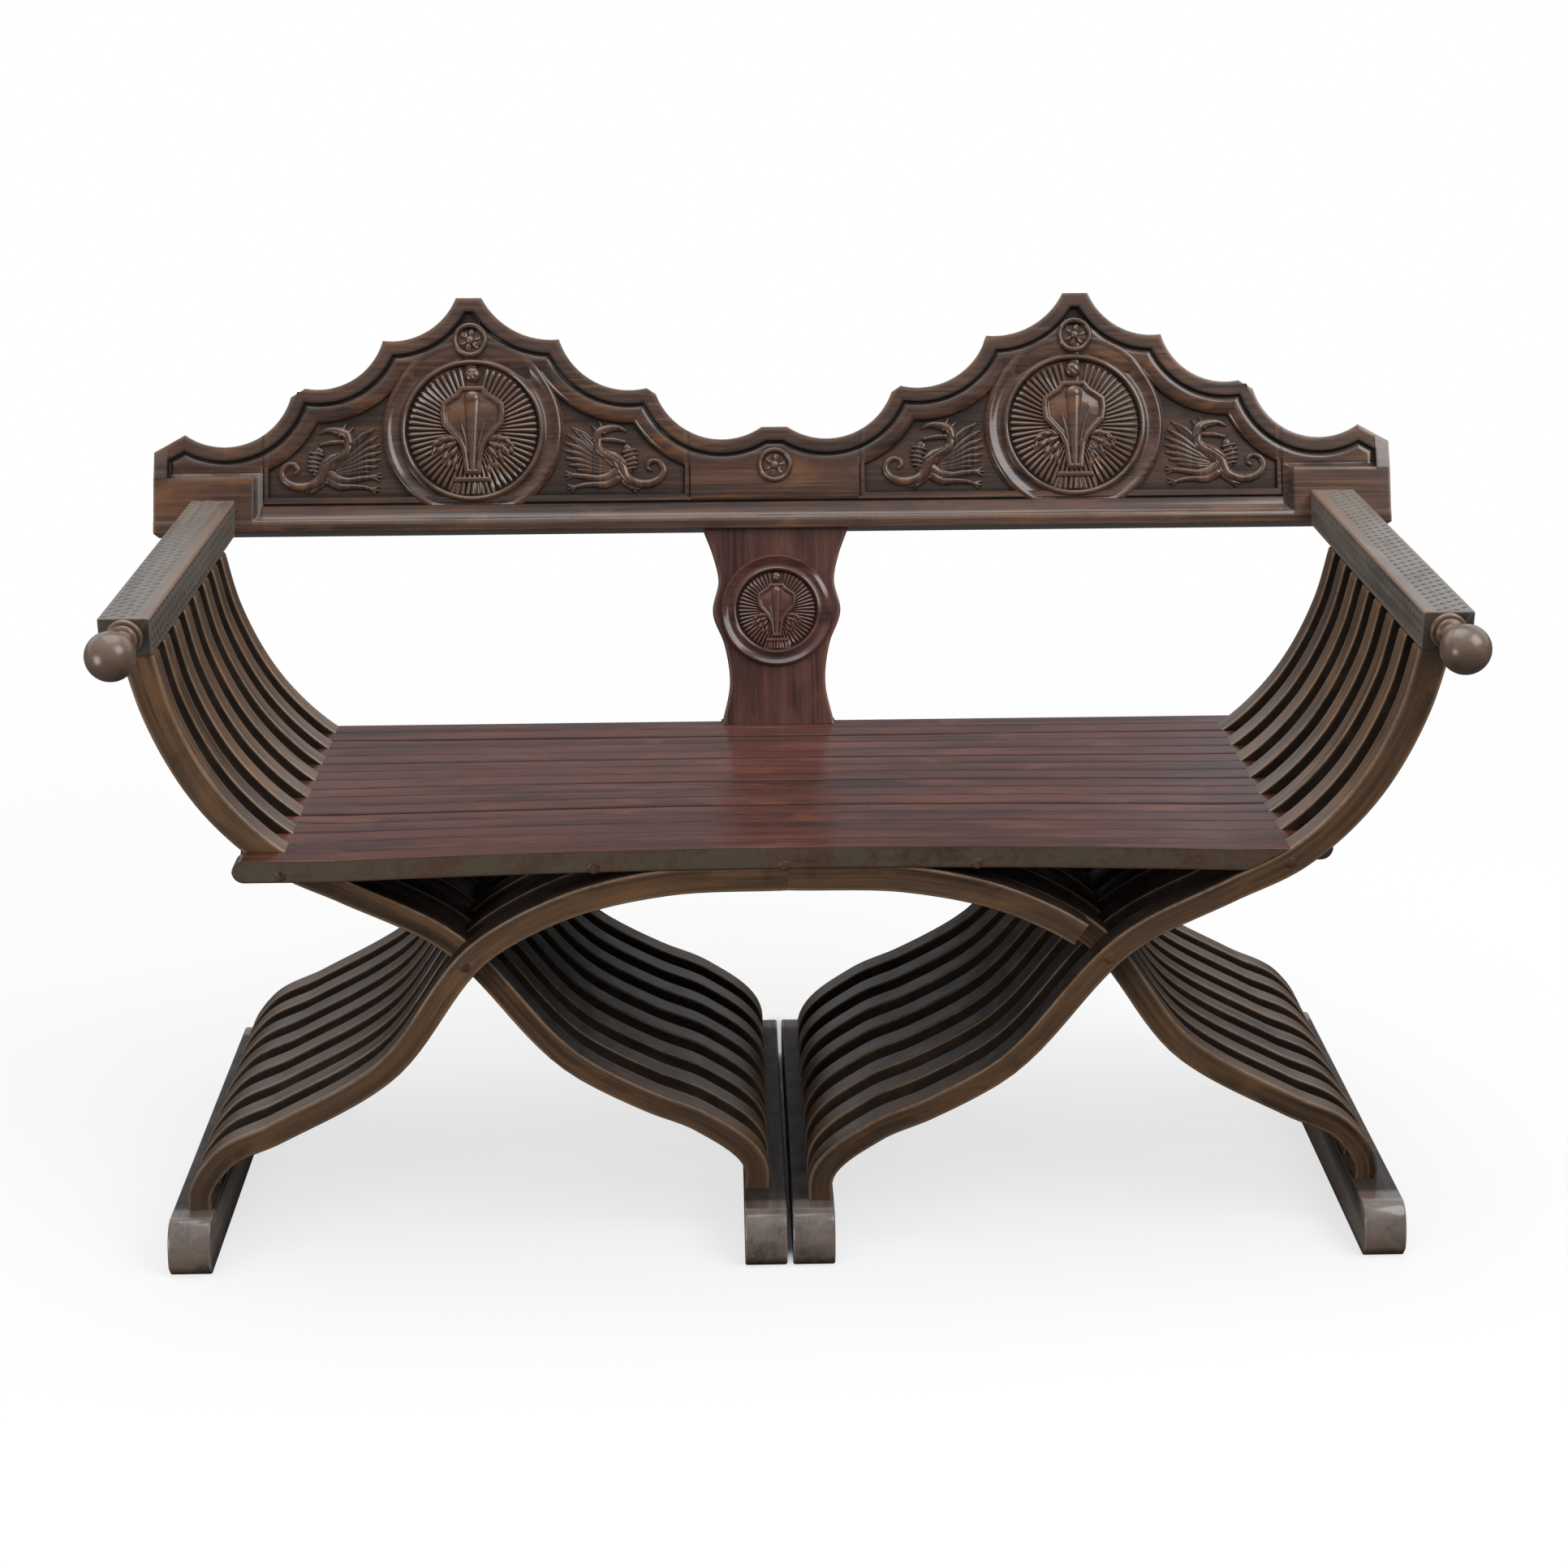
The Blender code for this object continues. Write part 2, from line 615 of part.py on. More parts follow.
def arm_tenon(side_sign, extra=0.0):
    """Centre and size of the tenon that an arm has in the crest, or of its mortise."""
    middle = ARM_UNDERSIDE + ARM_HEIGHT / 2
    face = crest_face_y(middle, CREST_RAIL_PROUD)
    size = (ARM_TENON_WIDTH + 2 * extra, 2 * (ARM_TENON_DEPTH + extra), ARM_TENON_HEIGHT + 2 * extra)
    return (side_sign * ARM_CENTRE_X, face, middle), size


def make_arm(side, sign):
    """An arm with its turned end, its tenon in the crest and mortises for the slats below."""
    front = -ARM_PROUD + (0.0 if side == "R" else PITCH)
    top = ARM_UNDERSIDE + ARM_HEIGHT
    lift = CREST_RAIL_PROUD + GAP
    profile = [(front, ARM_UNDERSIDE), (front, top), (crest_face_y(top, lift), top),
               (crest_face_y(ARM_UNDERSIDE, lift), ARM_UNDERSIDE)]
    name = "arm_" + side
    arm = place(name, plate(name, profile, ARM_WIDTH, arm_wood), (sign * ARM_CENTRE_X, 0.0, 0.0), SIDEWAYS)
    size = (2 * (TENON_HALF_WIDTH + GAP), SLAT_THICKNESS + 2 * GAP, 2 * (TENON_DEPTH + GAP))
    mortises = [((sign * ARM_SLAT_TOP_X, plane_y(plane), ARM_UNDERSIDE), size)
                for plane in slat_planes(side, "arm")]
    knob = turned(name + "_knob", knob_profile(), TURNED_SIDES)
    spot = (sign * ARM_CENTRE_X, front, ARM_UNDERSIDE + ARM_HEIGHT / 2)
    combine(arm, tool(name + "_knob", knob, spot, UPRIGHT), "UNION")
    combine(arm, tool(name + "_tenon", boxes(name + "_tenon", [arm_tenon(sign)])), "UNION")
    combine(arm, tool(name + "_mortises", boxes(name + "_mortises", mortises)), "DIFFERENCE")


# Crest


def crest_outline():
    """Clockwise outline of the crest: scallops along the top, straight ends and bottom."""
    half = []
    for (x, level, depth), (next_x, next_level, _) in zip(CREST_CORNERS, CREST_CORNERS[1:]):
        half += scallop_points((x, level), (next_x, next_level), depth)
    end_x, end_level, _ = CREST_CORNERS[-1]
    half += [(end_x, end_level), (end_x, CREST_BOTTOM)]
    return half[1:] + mirrored(half[1:])[::-1]


def drawn_in_level(x, distance):
    """Level of the crest's top edge at a place of its right half, drawn in by a distance."""
    levels = [APEX_LEVEL - distance]
    scallops = [(a, b) for a, b in zip(CREST_CORNERS, CREST_CORNERS[1:]) if a[2] > 0.0]
    for (start_x, start_level, depth), (end_x, end_level, _) in scallops:
        centre, radius = scallop_circle((start_x, start_level), (end_x, end_level), depth)
        if abs(x - centre.x) < radius + distance:
            levels.append(centre.y - math.sqrt((radius + distance) ** 2 - (x - centre.x) ** 2))
    hump_x, hump_level, _ = CREST_CORNERS[1]
    if x < hump_x + distance:
        levels.append(hump_level - distance)
    (corner_x, corner_level, _), (end_x, end_level, _) = CREST_CORNERS[-2:]
    fall = (end_level - corner_level) / (end_x - corner_x)
    levels.append(corner_level + fall * (x - corner_x) - distance * math.hypot(1.0, fall))
    return min(levels)


def drawn_in_edge(start, end, distance, steps):
    """Points of the crest's drawn-in top edge between two places of its right half."""
    places = [start + (end - start) * k / steps for k in range(steps + 1)]
    return [(x, drawn_in_level(x, distance)) for x in places]


def crest_mesh_between(name, outline, back, front):
    """A board in the crest's plane between two levels of its face."""
    mesh = plate(name, outline, front - back)
    shift = Matrix.Translation((0.0, 0.0, (front + back) / 2))
    mesh.transform(shift)
    return mesh


def crest_tool(name, mesh, setback=0.0):
    """A hidden body in the crest's plane, or in a plane set back from it."""
    return tool(name, mesh, crest_spot(setback), RAKED)


def crest_spot(setback=0.0):
    """Origin of the crest's plane, or of a plane set back from it."""
    return (0.0, CREST_Y + setback * math.cos(RAKE), CREST_LEVEL - setback * math.sin(RAKE))


def face_outline():
    """The part of the face that is cut back to the border's level, above the rail and end blocks."""
    end, margin = CREST_CORNERS[-1][0], CREST_RAIL_PROUD
    block = end - END_BLOCK_WIDTH
    right = [(end + margin, APEX_LEVEL + margin), (end + margin, END_BLOCK_TOP), (block, END_BLOCK_TOP),
             (block, RAIL_COVE_TOP)]
    return right + mirrored(right)[::-1]


def rail_cove():
    """Body that hollows the rail's top edge between the end blocks, down to a small quirk."""
    half = CREST_CORNERS[-1][0] - END_BLOCK_WIDTH - FIELD_MARGIN
    run = RAIL_COVE_TOP - RAIL_TOP
    fall = CREST_RAIL_PROUD - RAIL_QUIRK
    profile = [(RAIL_COVE_TOP + FIELD_MARGIN, RAIL_QUIRK), (RAIL_COVE_TOP + FIELD_MARGIN, 2 * CREST_RAIL_PROUD),
               (RAIL_TOP, 2 * CREST_RAIL_PROUD)]
    for k in range(RAIL_COVE_STEPS + 1):
        angle = math.pi / 2 * k / RAIL_COVE_STEPS
        profile.append((RAIL_TOP + run * math.sin(angle), RAIL_QUIRK + fall * math.cos(angle)))
    mesh = plate("Rail_cove", profile, 2 * half)
    mesh.transform(Matrix(((0, 0, 1, 0), (1, 0, 0, 0), (0, 1, 0, 0), (0, 0, 0, 1))))
    return mesh


def field_outline():
    """The sunk field inside the border band, above the rail and the end blocks."""
    end = CREST_CORNERS[-1][0] - BORDER_WIDTH
    block = CREST_CORNERS[-1][0] - END_BLOCK_WIDTH - FIELD_MARGIN
    step, foot = END_BLOCK_TOP + FIELD_MARGIN, RAIL_COVE_TOP + FIELD_MARGIN
    top = drawn_in_edge(0.0, end, BORDER_WIDTH, FIELD_STEPS)
    right = top + [(end, step), (block, step), (block, foot)]
    return right + mirrored(right[1:])[::-1]


def panel_outline():
    """The sunk panels of the right half, which run on under the medallion between them."""
    edge = drawn_in_edge(PANEL_INNER_X, PANEL_OUTER_X, PANEL_INSET, PANEL_STEPS)
    top = [p for p in edge if p[1] < PANEL_SHOULDER]
    return top + [(PANEL_OUTER_X, PANEL_BOTTOM), (PANEL_INNER_X, PANEL_BOTTOM)]


def medallion_profile():
    """Radius and level of a medallion: sunk disc, bead, cove and outer rim."""
    disc, rim = MEDALLION_DISC_RADIUS, MEDALLION_RADIUS
    band = rim - disc
    bed = -PANEL_DEPTH - TURNED_BED
    return [(0.0, -MEDALLION_DISC_DEPTH), (disc, -MEDALLION_DISC_DEPTH), (disc + 0.08 * band, 0.0),
            (disc + 0.25 * band, 0.0), (disc + 0.42 * band, -0.6 * FIELD_DEPTH - 0.002),
            (disc + 0.66 * band, -0.6 * FIELD_DEPTH - 0.002), (disc + 0.86 * band, 0.0), (rim, -0.001),
            (rim, bed), (0.0, bed)]


def rosette_profile():
    """Radius and level of a rosette: boss, dish and ring."""
    radius = ROSETTE_RADIUS
    bed = -FIELD_DEPTH - TURNED_BED
    return [(0.0, 0.001), (0.22 * radius, 0.0), (0.36 * radius, -0.8 * FIELD_DEPTH),
            (0.72 * radius, -0.8 * FIELD_DEPTH), (0.82 * radius, 0.001), (radius, -0.001),
            (radius, bed), (0.0, bed)]


def medallion_seat_outline():
    """Round seat cut for a medallion, stopped at the bottom just above the rail's cove."""
    radius = MEDALLION_RADIUS - GAP
    floor = RAIL_COVE_TOP + FIELD_MARGIN / 2
    circle = ring((MEDALLION_X, MEDALLION_LEVEL), radius, MEDALLION_SIDES)
    above = [i for i, p in enumerate(circle) if p[1] > floor]
    if len(above) == len(circle):
        return circle
    reach = math.sqrt(radius ** 2 - (MEDALLION_LEVEL - floor) ** 2)
    chord = [(MEDALLION_X - reach, floor), (MEDALLION_X + reach, floor)]
    split = [i for i, p in enumerate(circle) if p[1] <= floor][0]
    return circle[:split] + chord + [circle[i] for i in above if i > split]


def make_crest():
    """The carved crest with its border, panels, medallions, rosettes and mortises."""
    mesh = crest_mesh_between("crest_rail", crest_outline(), -CREST_THICKNESS, CREST_RAIL_PROUD)
    mesh.materials.append(crest_wood)
    crest = place("crest_rail", mesh, crest_spot(), RAKED)
    above = 2 * CREST_RAIL_PROUD
    face = crest_mesh_between("face", face_outline(), 0.0, above)
    combine(crest, crest_tool("face", face), "DIFFERENCE")
    combine(crest, crest_tool("rail_cove", rail_cove()), "DIFFERENCE")
    field = crest_mesh_between("field", field_outline(), -FIELD_DEPTH, above)
    combine(crest, crest_tool("field", field), "DIFFERENCE")
    medallion = turned("medallion", medallion_profile(), MEDALLION_SIDES)
    for side, turn, sign in (("R", list, 1), ("L", mirrored, -1)):
        panel = crest_mesh_between("panel", turn(panel_outline()), -PANEL_DEPTH, above)
        combine(crest, crest_tool("panel_" + side, panel), "DIFFERENCE")
        seat = crest_mesh_between("medallion_seat", turn(medallion_seat_outline()),
                                  -PANEL_DEPTH - TURNED_BED / 2, above)
        combine(crest, crest_tool("medallion_seat_" + side, seat), "DIFFERENCE")
        spot = gather("medallion", medallion, [(sign * MEDALLION_X, MEDALLION_LEVEL)])
        combine(crest, crest_tool("medallion_" + side, spot), "UNION")
    spots = [(ROSETTE_X, ROSETTE_LEVEL), (-ROSETTE_X, ROSETTE_LEVEL), (0.0, MIDDLE_ROSETTE_LEVEL)]
    rosettes = gather("rosettes", turned("rosette", rosette_profile(), ROSETTE_SIDES), spots)
    combine(crest, crest_tool("rosettes", rosettes), "UNION")
    mortise = [((0.0, CREST_BOTTOM, -SPLAT_SETBACK - SPLAT_THICKNESS / 2),
                (2 * (SPLAT_TENON_HALF_WIDTH + GAP), 2 * (SPLAT_TENON_DEPTH + GAP), SPLAT_THICKNESS + 2 * GAP))]
    combine(crest, crest_tool("splat_mortise", boxes("splat_mortise", mortise)), "DIFFERENCE")
    arm_mortises = [arm_tenon(sign, GAP) for sign in (1, -1)]
    combine(crest, tool("arm_mortises", boxes("arm_mortises", arm_mortises)), "DIFFERENCE")


# Splat


def splat_level(share):
    """Level in the crest's plane of a share of the splat's height between foot and shoulder."""
    return SPLAT_FOOT + (SPLAT_SHOULDER - SPLAT_FOOT) * share


def splat_outline():
    """Outline of the splat: waisted and scrolled sides, a tenon at the top, a foot below the seat."""
    nodes = [(half, splat_level(share)) for half, share in zip(SPLAT_HALF_WIDTHS, SPLAT_SHARES)]
    path = smooth_path([(SPLAT_FOOT_HALF_WIDTH, SPLAT_FOOT), *nodes, (SPLAT_TOP_HALF_WIDTH, SPLAT_SHOULDER)])
    side = [tuple(path[i]) for i in simplified(path)]
    tip = SPLAT_SHOULDER + SPLAT_TENON_DEPTH
    below = SPLAT_FOOT - SPLAT_THICKNESS
    right = [(SPLAT_FOOT_HALF_WIDTH, below), *side, (SPLAT_TENON_HALF_WIDTH, SPLAT_SHOULDER),
             (SPLAT_TENON_HALF_WIDTH, tip)]
    return right + mirrored(right)[::-1]


def splat_medallion_profile():
    """Radius and level of the splat's medallion: disc, bead and outer ring on the face."""
    disc, rim, rise = SPLAT_DISC_RADIUS, SPLAT_MEDALLION_RADIUS, SPLAT_MEDALLION_RISE
    band = rim - disc
    return [(0.0, 0.3 * rise), (disc, 0.3 * rise), (disc + 0.15 * band, rise), (disc + 0.35 * band, rise),
            (disc + 0.5 * band, 0.4 * rise), (disc + 0.7 * band, 0.4 * rise), (disc + 0.85 * band, rise),
            (rim, 0.2 * rise), (rim, -TURNED_BED), (0.0, -TURNED_BED)]


def make_splat():
    """The raked splat, cut level where it stands on the last seat slat, with a tenon into it."""
    mesh = crest_mesh_between("splat", splat_outline(), -SPLAT_THICKNESS, 0.0)
    mesh.materials.append(splat_wood)
    splat = place("splat", mesh, crest_spot(SPLAT_SETBACK), RAKED)
    medallion = turned("splat_medallion", splat_medallion_profile(), SPLAT_MEDALLION_SIDES)
    medallion = gather("splat_medallion", medallion, [(0.0, splat_level(SPLAT_MEDALLION_SHARE))])
    combine(splat, crest_tool("splat_medallion", medallion, SPLAT_SETBACK), "UNION")
    floor = SEAT_TOP + GAP
    reach = 4 * SPLAT_THICKNESS
    base_y = crest_face_y(SEAT_TOP, -SPLAT_SETBACK)
    level = [((0.0, base_y, floor - reach / 2), (3 * SPLAT_FOOT_HALF_WIDTH, 2 * reach, reach))]
    combine(splat, tool("splat_level", boxes("splat_level", level)), "DIFFERENCE")
    tenon_y = plane_y(PLANES - 1)
    depth = SEAT_SLAT_HEIGHT / 2
    size = (SPLAT_FOOT_TENON_WIDTH, SPLAT_FOOT_TENON_THICKNESS, 2 * depth)
    foot = boxes("splat_foot", [((0.0, tenon_y, SEAT_TOP), size)])
    combine(splat, tool("splat_foot", foot), "UNION")
    slot = tuple(length + 2 * GAP for length in size)
    mortise = boxes("splat_foot_mortise", [((0.0, tenon_y, SEAT_TOP), slot)])
    last = bpy.data.objects[f"seat_slat_{PLANES:02d}"]
    combine(last, tool("splat_foot_mortise", mortise), "DIFFERENCE")


clear_scene()
parts = make_collection("Savonarola_settee")
tools = make_collection("Tools")
settee = bpy.data.objects.new("Settee", None)
settee.location = (0.0, -MIDDLE_Y, 0.0)
parts.objects.link(settee)

seat_wood = make_material("Seat_walnut", (0.085, 0.026, 0.016), 0.32)
slat_wood = make_material("Slat_walnut", (0.058, 0.032, 0.020), 0.38)
rod_wood = make_material("Rod_walnut", (0.040, 0.020, 0.014), 0.45)
foot_wood = make_material("Runner_walnut", (0.066, 0.038, 0.026), 0.36)
arm_wood = make_material("Arm_walnut", (0.072, 0.042, 0.028), 0.36)
crest_wood = make_material("Crest_walnut", (0.075, 0.034, 0.020), 0.34)
splat_wood = make_material("Splat_walnut", (0.070, 0.024, 0.016), 0.33)

make_slats()
make_rods()
make_runners()
for arm_side, arm_sign in (("R", 1), ("L", -1)):
    make_arm(arm_side, arm_sign)
make_crest()
make_splat()
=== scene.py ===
"""Dresses the savonarola settee: slatted crossed legs, boarded seat, carved arms, crest and splat."""

import logging
import math
from dataclasses import dataclass, field
from enum import Enum

import bpy
import numpy as np
from mathutils import Matrix, Vector


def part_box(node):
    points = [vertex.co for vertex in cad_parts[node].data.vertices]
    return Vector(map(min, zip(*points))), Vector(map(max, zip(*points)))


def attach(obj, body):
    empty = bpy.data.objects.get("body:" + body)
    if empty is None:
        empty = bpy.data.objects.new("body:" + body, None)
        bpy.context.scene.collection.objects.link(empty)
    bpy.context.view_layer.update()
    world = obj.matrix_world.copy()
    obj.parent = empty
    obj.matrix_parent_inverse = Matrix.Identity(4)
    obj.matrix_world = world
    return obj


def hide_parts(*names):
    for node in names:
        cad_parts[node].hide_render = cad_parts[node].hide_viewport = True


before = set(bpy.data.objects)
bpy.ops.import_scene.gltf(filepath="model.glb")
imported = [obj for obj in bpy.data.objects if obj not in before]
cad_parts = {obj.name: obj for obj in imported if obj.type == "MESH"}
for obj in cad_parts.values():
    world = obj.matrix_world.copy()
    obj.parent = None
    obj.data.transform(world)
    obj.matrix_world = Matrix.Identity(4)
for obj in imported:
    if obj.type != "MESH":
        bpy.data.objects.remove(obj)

log = logging.getLogger("settee")

Colour = tuple[float, float, float, float]
Pair = tuple[float, float]


class Side(Enum):
    """The two hands of the settee, as the sitter's front shows them."""

    LEFT = -1
    RIGHT = 1

    @property
    def letter(self) -> str:
        """The letter that ends the names of the pieces on this side."""
        return "L" if self is Side.LEFT else "R"


# Meshes in the making


@dataclass
class Shell:
    """Points and faces of one piece, with the values that its finish reads at each point."""

    points: np.ndarray
    faces: list
    grain: np.ndarray
    wear: np.ndarray
    shade: np.ndarray

    def joined(self, *others: "Shell") -> "Shell":
        """Puts several shells together.

        Args:
            others: The shells that are added to this one.

        Returns:
            One shell with the points and faces of all of them.
        """
        shells = [self, *others]
        starts = np.cumsum([0] + [len(shell.points) for shell in shells])
        faces = []
        for start, shell in zip(starts, shells):
            faces += [[int(start) + corner for corner in face] for face in shell.faces]
        return Shell(np.concatenate([s.points for s in shells]), faces,
                     np.concatenate([s.grain for s in shells]),
                     np.concatenate([s.wear for s in shells]),
                     np.concatenate([s.shade for s in shells]))

    def mirrored(self) -> "Shell":
        """The same shell on the other side of the middle."""
        flip = np.array([-1.0, 1.0, 1.0])
        return Shell(self.points * flip, [face[::-1] for face in self.faces],
                     self.grain + np.array([3.7, 1.3, 0.0]), self.wear, self.shade)

    def moved(self, offset: tuple[float, float, float]) -> "Shell":
        """The same shell in another place."""
        return Shell(self.points + np.array(offset), self.faces, self.grain, self.wear, self.shade)

    def outward(self) -> "Shell":
        """The same closed shell with its faces turned outwards."""
        total = 0.0
        for face in self.faces:
            corners = self.points[face]
            fan = np.cross(corners[1:-1], corners[2:])
            total += float((fan @ corners[0]).sum())
        if total < 0.0:
            self.faces = [face[::-1] for face in self.faces]
        return self

    def mesh(self, name: str, crease: float = 35.0) -> bpy.types.Mesh:
        """Makes the Blender mesh.

        Args:
            name: Name of the mesh.
            crease: Angle in degrees past which an edge shows as sharp.

        Returns:
            The mesh with the attributes grain, wear (pale edge, partly painted highlight) and shade (painted shade,
            partly grime).
        """
        mesh = bpy.data.meshes.new(name)
        mesh.from_pydata(self.points.tolist(), [], self.faces)
        grain = mesh.attributes.new("grain", "FLOAT_VECTOR", "POINT")
        grain.data.foreach_set("vector", self.grain.astype(np.float32).ravel())
        for key, values in (("wear", self.wear), ("shade", self.shade)):
            layer = mesh.attributes.new(key, "FLOAT", "POINT")
            layer.data.foreach_set("value", values.astype(np.float32).ravel())
        mesh.polygons.foreach_set("use_smooth", [True] * len(mesh.polygons))
        mesh.set_sharp_from_angle(angle=math.radians(crease))
        mesh.update()
        return mesh


def loft(rings: np.ndarray, grain: np.ndarray, wear: np.ndarray, shade: np.ndarray | None = None) -> Shell:
    """Skins a row of closed rings and caps both ends.

    Args:
        rings: Points by ring and by place round the ring.
        grain: Wood coordinates of the same points.
        wear: Share of pale edge, from handling and painted highlight, at the same points.
        shade: Share of painted shade, with settled grime, at the same points.

    Returns:
        A closed shell.
    """
    count, around = rings.shape[:2]
    index = np.arange(count * around).reshape(count, around)
    onward = np.roll(index, -1, axis=1)
    quads = np.stack([index[:-1], onward[:-1], onward[1:], index[1:]], axis=-1).reshape(-1, 4)
    faces = quads.tolist() + [index[0][::-1].tolist(), index[-1].tolist()]
    shade = np.zeros(count * around) if shade is None else shade.ravel()
    return Shell(rings.reshape(-1, 3), faces, grain.reshape(-1, 3), wear.ravel(), shade).outward()


def lathe(profile: list[Pair], sides: int, squash: float = 1.0) -> Shell:
    """Turns a profile of radius and height round the z axis.

    Args:
        profile: Radius and height from one end to the other, in metres.
        sides: Number of facets round the axis.
        squash: Share of the width that is left across y.

    Returns:
        A closed shell.
    """
    angles = np.arange(sides) * 2 * np.pi / sides
    rows = np.array([(max(radius, 1e-4), height) for radius, height in profile])
    rings = np.stack([rows[:, :1] * np.cos(angles), squash * rows[:, :1] * np.sin(angles),
                      np.repeat(rows[:, 1:], sides, axis=1)], axis=-1)
    return loft(rings, rings[..., [2, 0, 1]], np.zeros(rings.shape[:2]))


def smooth_path(nodes: list[Pair], steps: int = 16) -> np.ndarray:
    """Points along a smooth curve through nodes.

    Args:
        nodes: Points that the curve passes through.
        steps: Points from one node to the next.

    Returns:
        The points, one row each.
    """
    nodes = np.array(nodes, dtype=float)
    spans = np.linalg.norm(np.diff(nodes, axis=0), axis=1)
    slopes = np.diff(nodes, axis=0) / spans[:, None]
    tangents = [slopes[0]]
    for i in range(len(spans) - 1):
        tangents.append((slopes[i] * spans[i + 1] + slopes[i + 1] * spans[i]) / (spans[i] + spans[i + 1]))
    tangents.append(slopes[-1])
    share = np.arange(steps)[:, None] / steps
    rows = []
    for i, span in enumerate(spans):
        leave = nodes[i] + tangents[i] * span / 3
        arrive = nodes[i + 1] - tangents[i + 1] * span / 3
        rows.append(nodes[i] * (1 - share) ** 3 + leave * 3 * share * (1 - share) ** 2
                    + arrive * 3 * share ** 2 * (1 - share) + nodes[i + 1] * share ** 3)
    return np.concatenate(rows + [nodes[-1:]])


def strip_half_widths(count: int, widths: tuple[float, float, float]) -> np.ndarray:
    """Half widths along a strip that has three of them, at its first end, middle and last end."""
    share = np.arange(count) / (count - 1)
    return (widths[0] * (1 - share) * (1 - 2 * share) + widths[1] * 4 * share * (1 - share)
            + widths[2] * share * (2 * share - 1))


def path_normals(path: np.ndarray) -> np.ndarray:
    """Unit normals to the left of a path."""
    along = np.empty_like(path)
    along[1:-1] = path[2:] - path[:-2]
    along[0], along[-1] = path[1] - path[0], path[-1] - path[-2]
    normals = np.stack([-along[:, 1], along[:, 0]], axis=1)
    return normals / np.linalg.norm(normals, axis=1, keepdims=True)


def eased_ring(easing: float, arc: int = 3, margin: float = 0.0022) -> tuple[np.ndarray, ...]:
    """The ring of a board's section with eased corners.

    Args:
        easing: Radius of the corners.
        arc: Steps round a corner.
        margin: Place of the first point on the flat past a corner.

    Returns:
        Signs across and deep, fixed offsets across and deep, and the share of pale edge from handling and painted
        highlight, one value for each point.
    """
    rows = []
    for across, deep, turn in ((1, 1, 0.0), (-1, 1, 0.5), (-1, -1, 1.0), (1, -1, 1.5)):
        angles = [math.pi * (turn + 0.5 * k / arc) for k in range(arc + 1)]
        arcs = [(easing * math.cos(a), easing * math.sin(a), 1.0) for a in angles]
        before, after = arcs[0], arcs[-1]
        flat = [(before[0] + math.sin(angles[0]) * margin, before[1] - math.cos(angles[0]) * margin, 0.0)]
        flat_after = [(after[0] - math.sin(angles[-1]) * margin, after[1] + math.cos(angles[-1]) * margin, 0.0)]
        rows += [(across, deep, *row) for row in flat + arcs + flat_after]
    return tuple(np.array(column, dtype=float) for column in zip(*rows))


def strip(path: np.ndarray, half: np.ndarray, depth: float, easing: float, roof: float, unshaded: float) -> Shell:
    """A board of even depth that follows a path in the x z plane, with eased edges.

    Args:
        path: Centre line.
        half: Half width at each point of it.
        depth: Thickness along y.
        easing: Radius of the edges.
        roof: Height of the seat's underside; below it the edges get painted shade, with old polish.
        unshaded: Height at which that painted shade on the edges fades to its least.

    Returns:
        A closed shell with the middle of its depth at y = 0.
    """
    across, deep, add_across, add_deep, wear = eased_ring(easing)
    normals = path_normals(path)
    offset = across[None] * (half[:, None] - easing) + add_across[None]
    y = np.broadcast_to(deep * (depth / 2 - easing) + add_deep, offset.shape)
    flat = path[:, None, :] + normals[:, None, :] * offset[..., None]
    rings = np.stack([flat[..., 0], y, flat[..., 1]], axis=-1)
    length = np.concatenate([[0.0], np.cumsum(np.linalg.norm(np.diff(path, axis=0), axis=1))])
    grain = np.stack([np.broadcast_to(length[:, None], offset.shape), offset, y], axis=-1)
    # Painted shade under the seat on the slats' edges, with old polish there; the faces also get darker towards the
    # bottom.
    under_seat_shade = np.clip((path[:, 1] - unshaded) / 0.16, 0.20, 1.0) * np.clip((roof + 0.01 - path[:, 1]) / 0.03, 0.0, 1.0)
    low = 0.45 * np.clip((0.24 - path[:, 1]) / 0.16, 0.0, 1.0)
    shade = np.where(np.abs(offset) > half[:, None] - 0.2 * easing, under_seat_shade[:, None], low[:, None])
    return loft(rings, grain, np.broadcast_to(wear, offset.shape), shade)


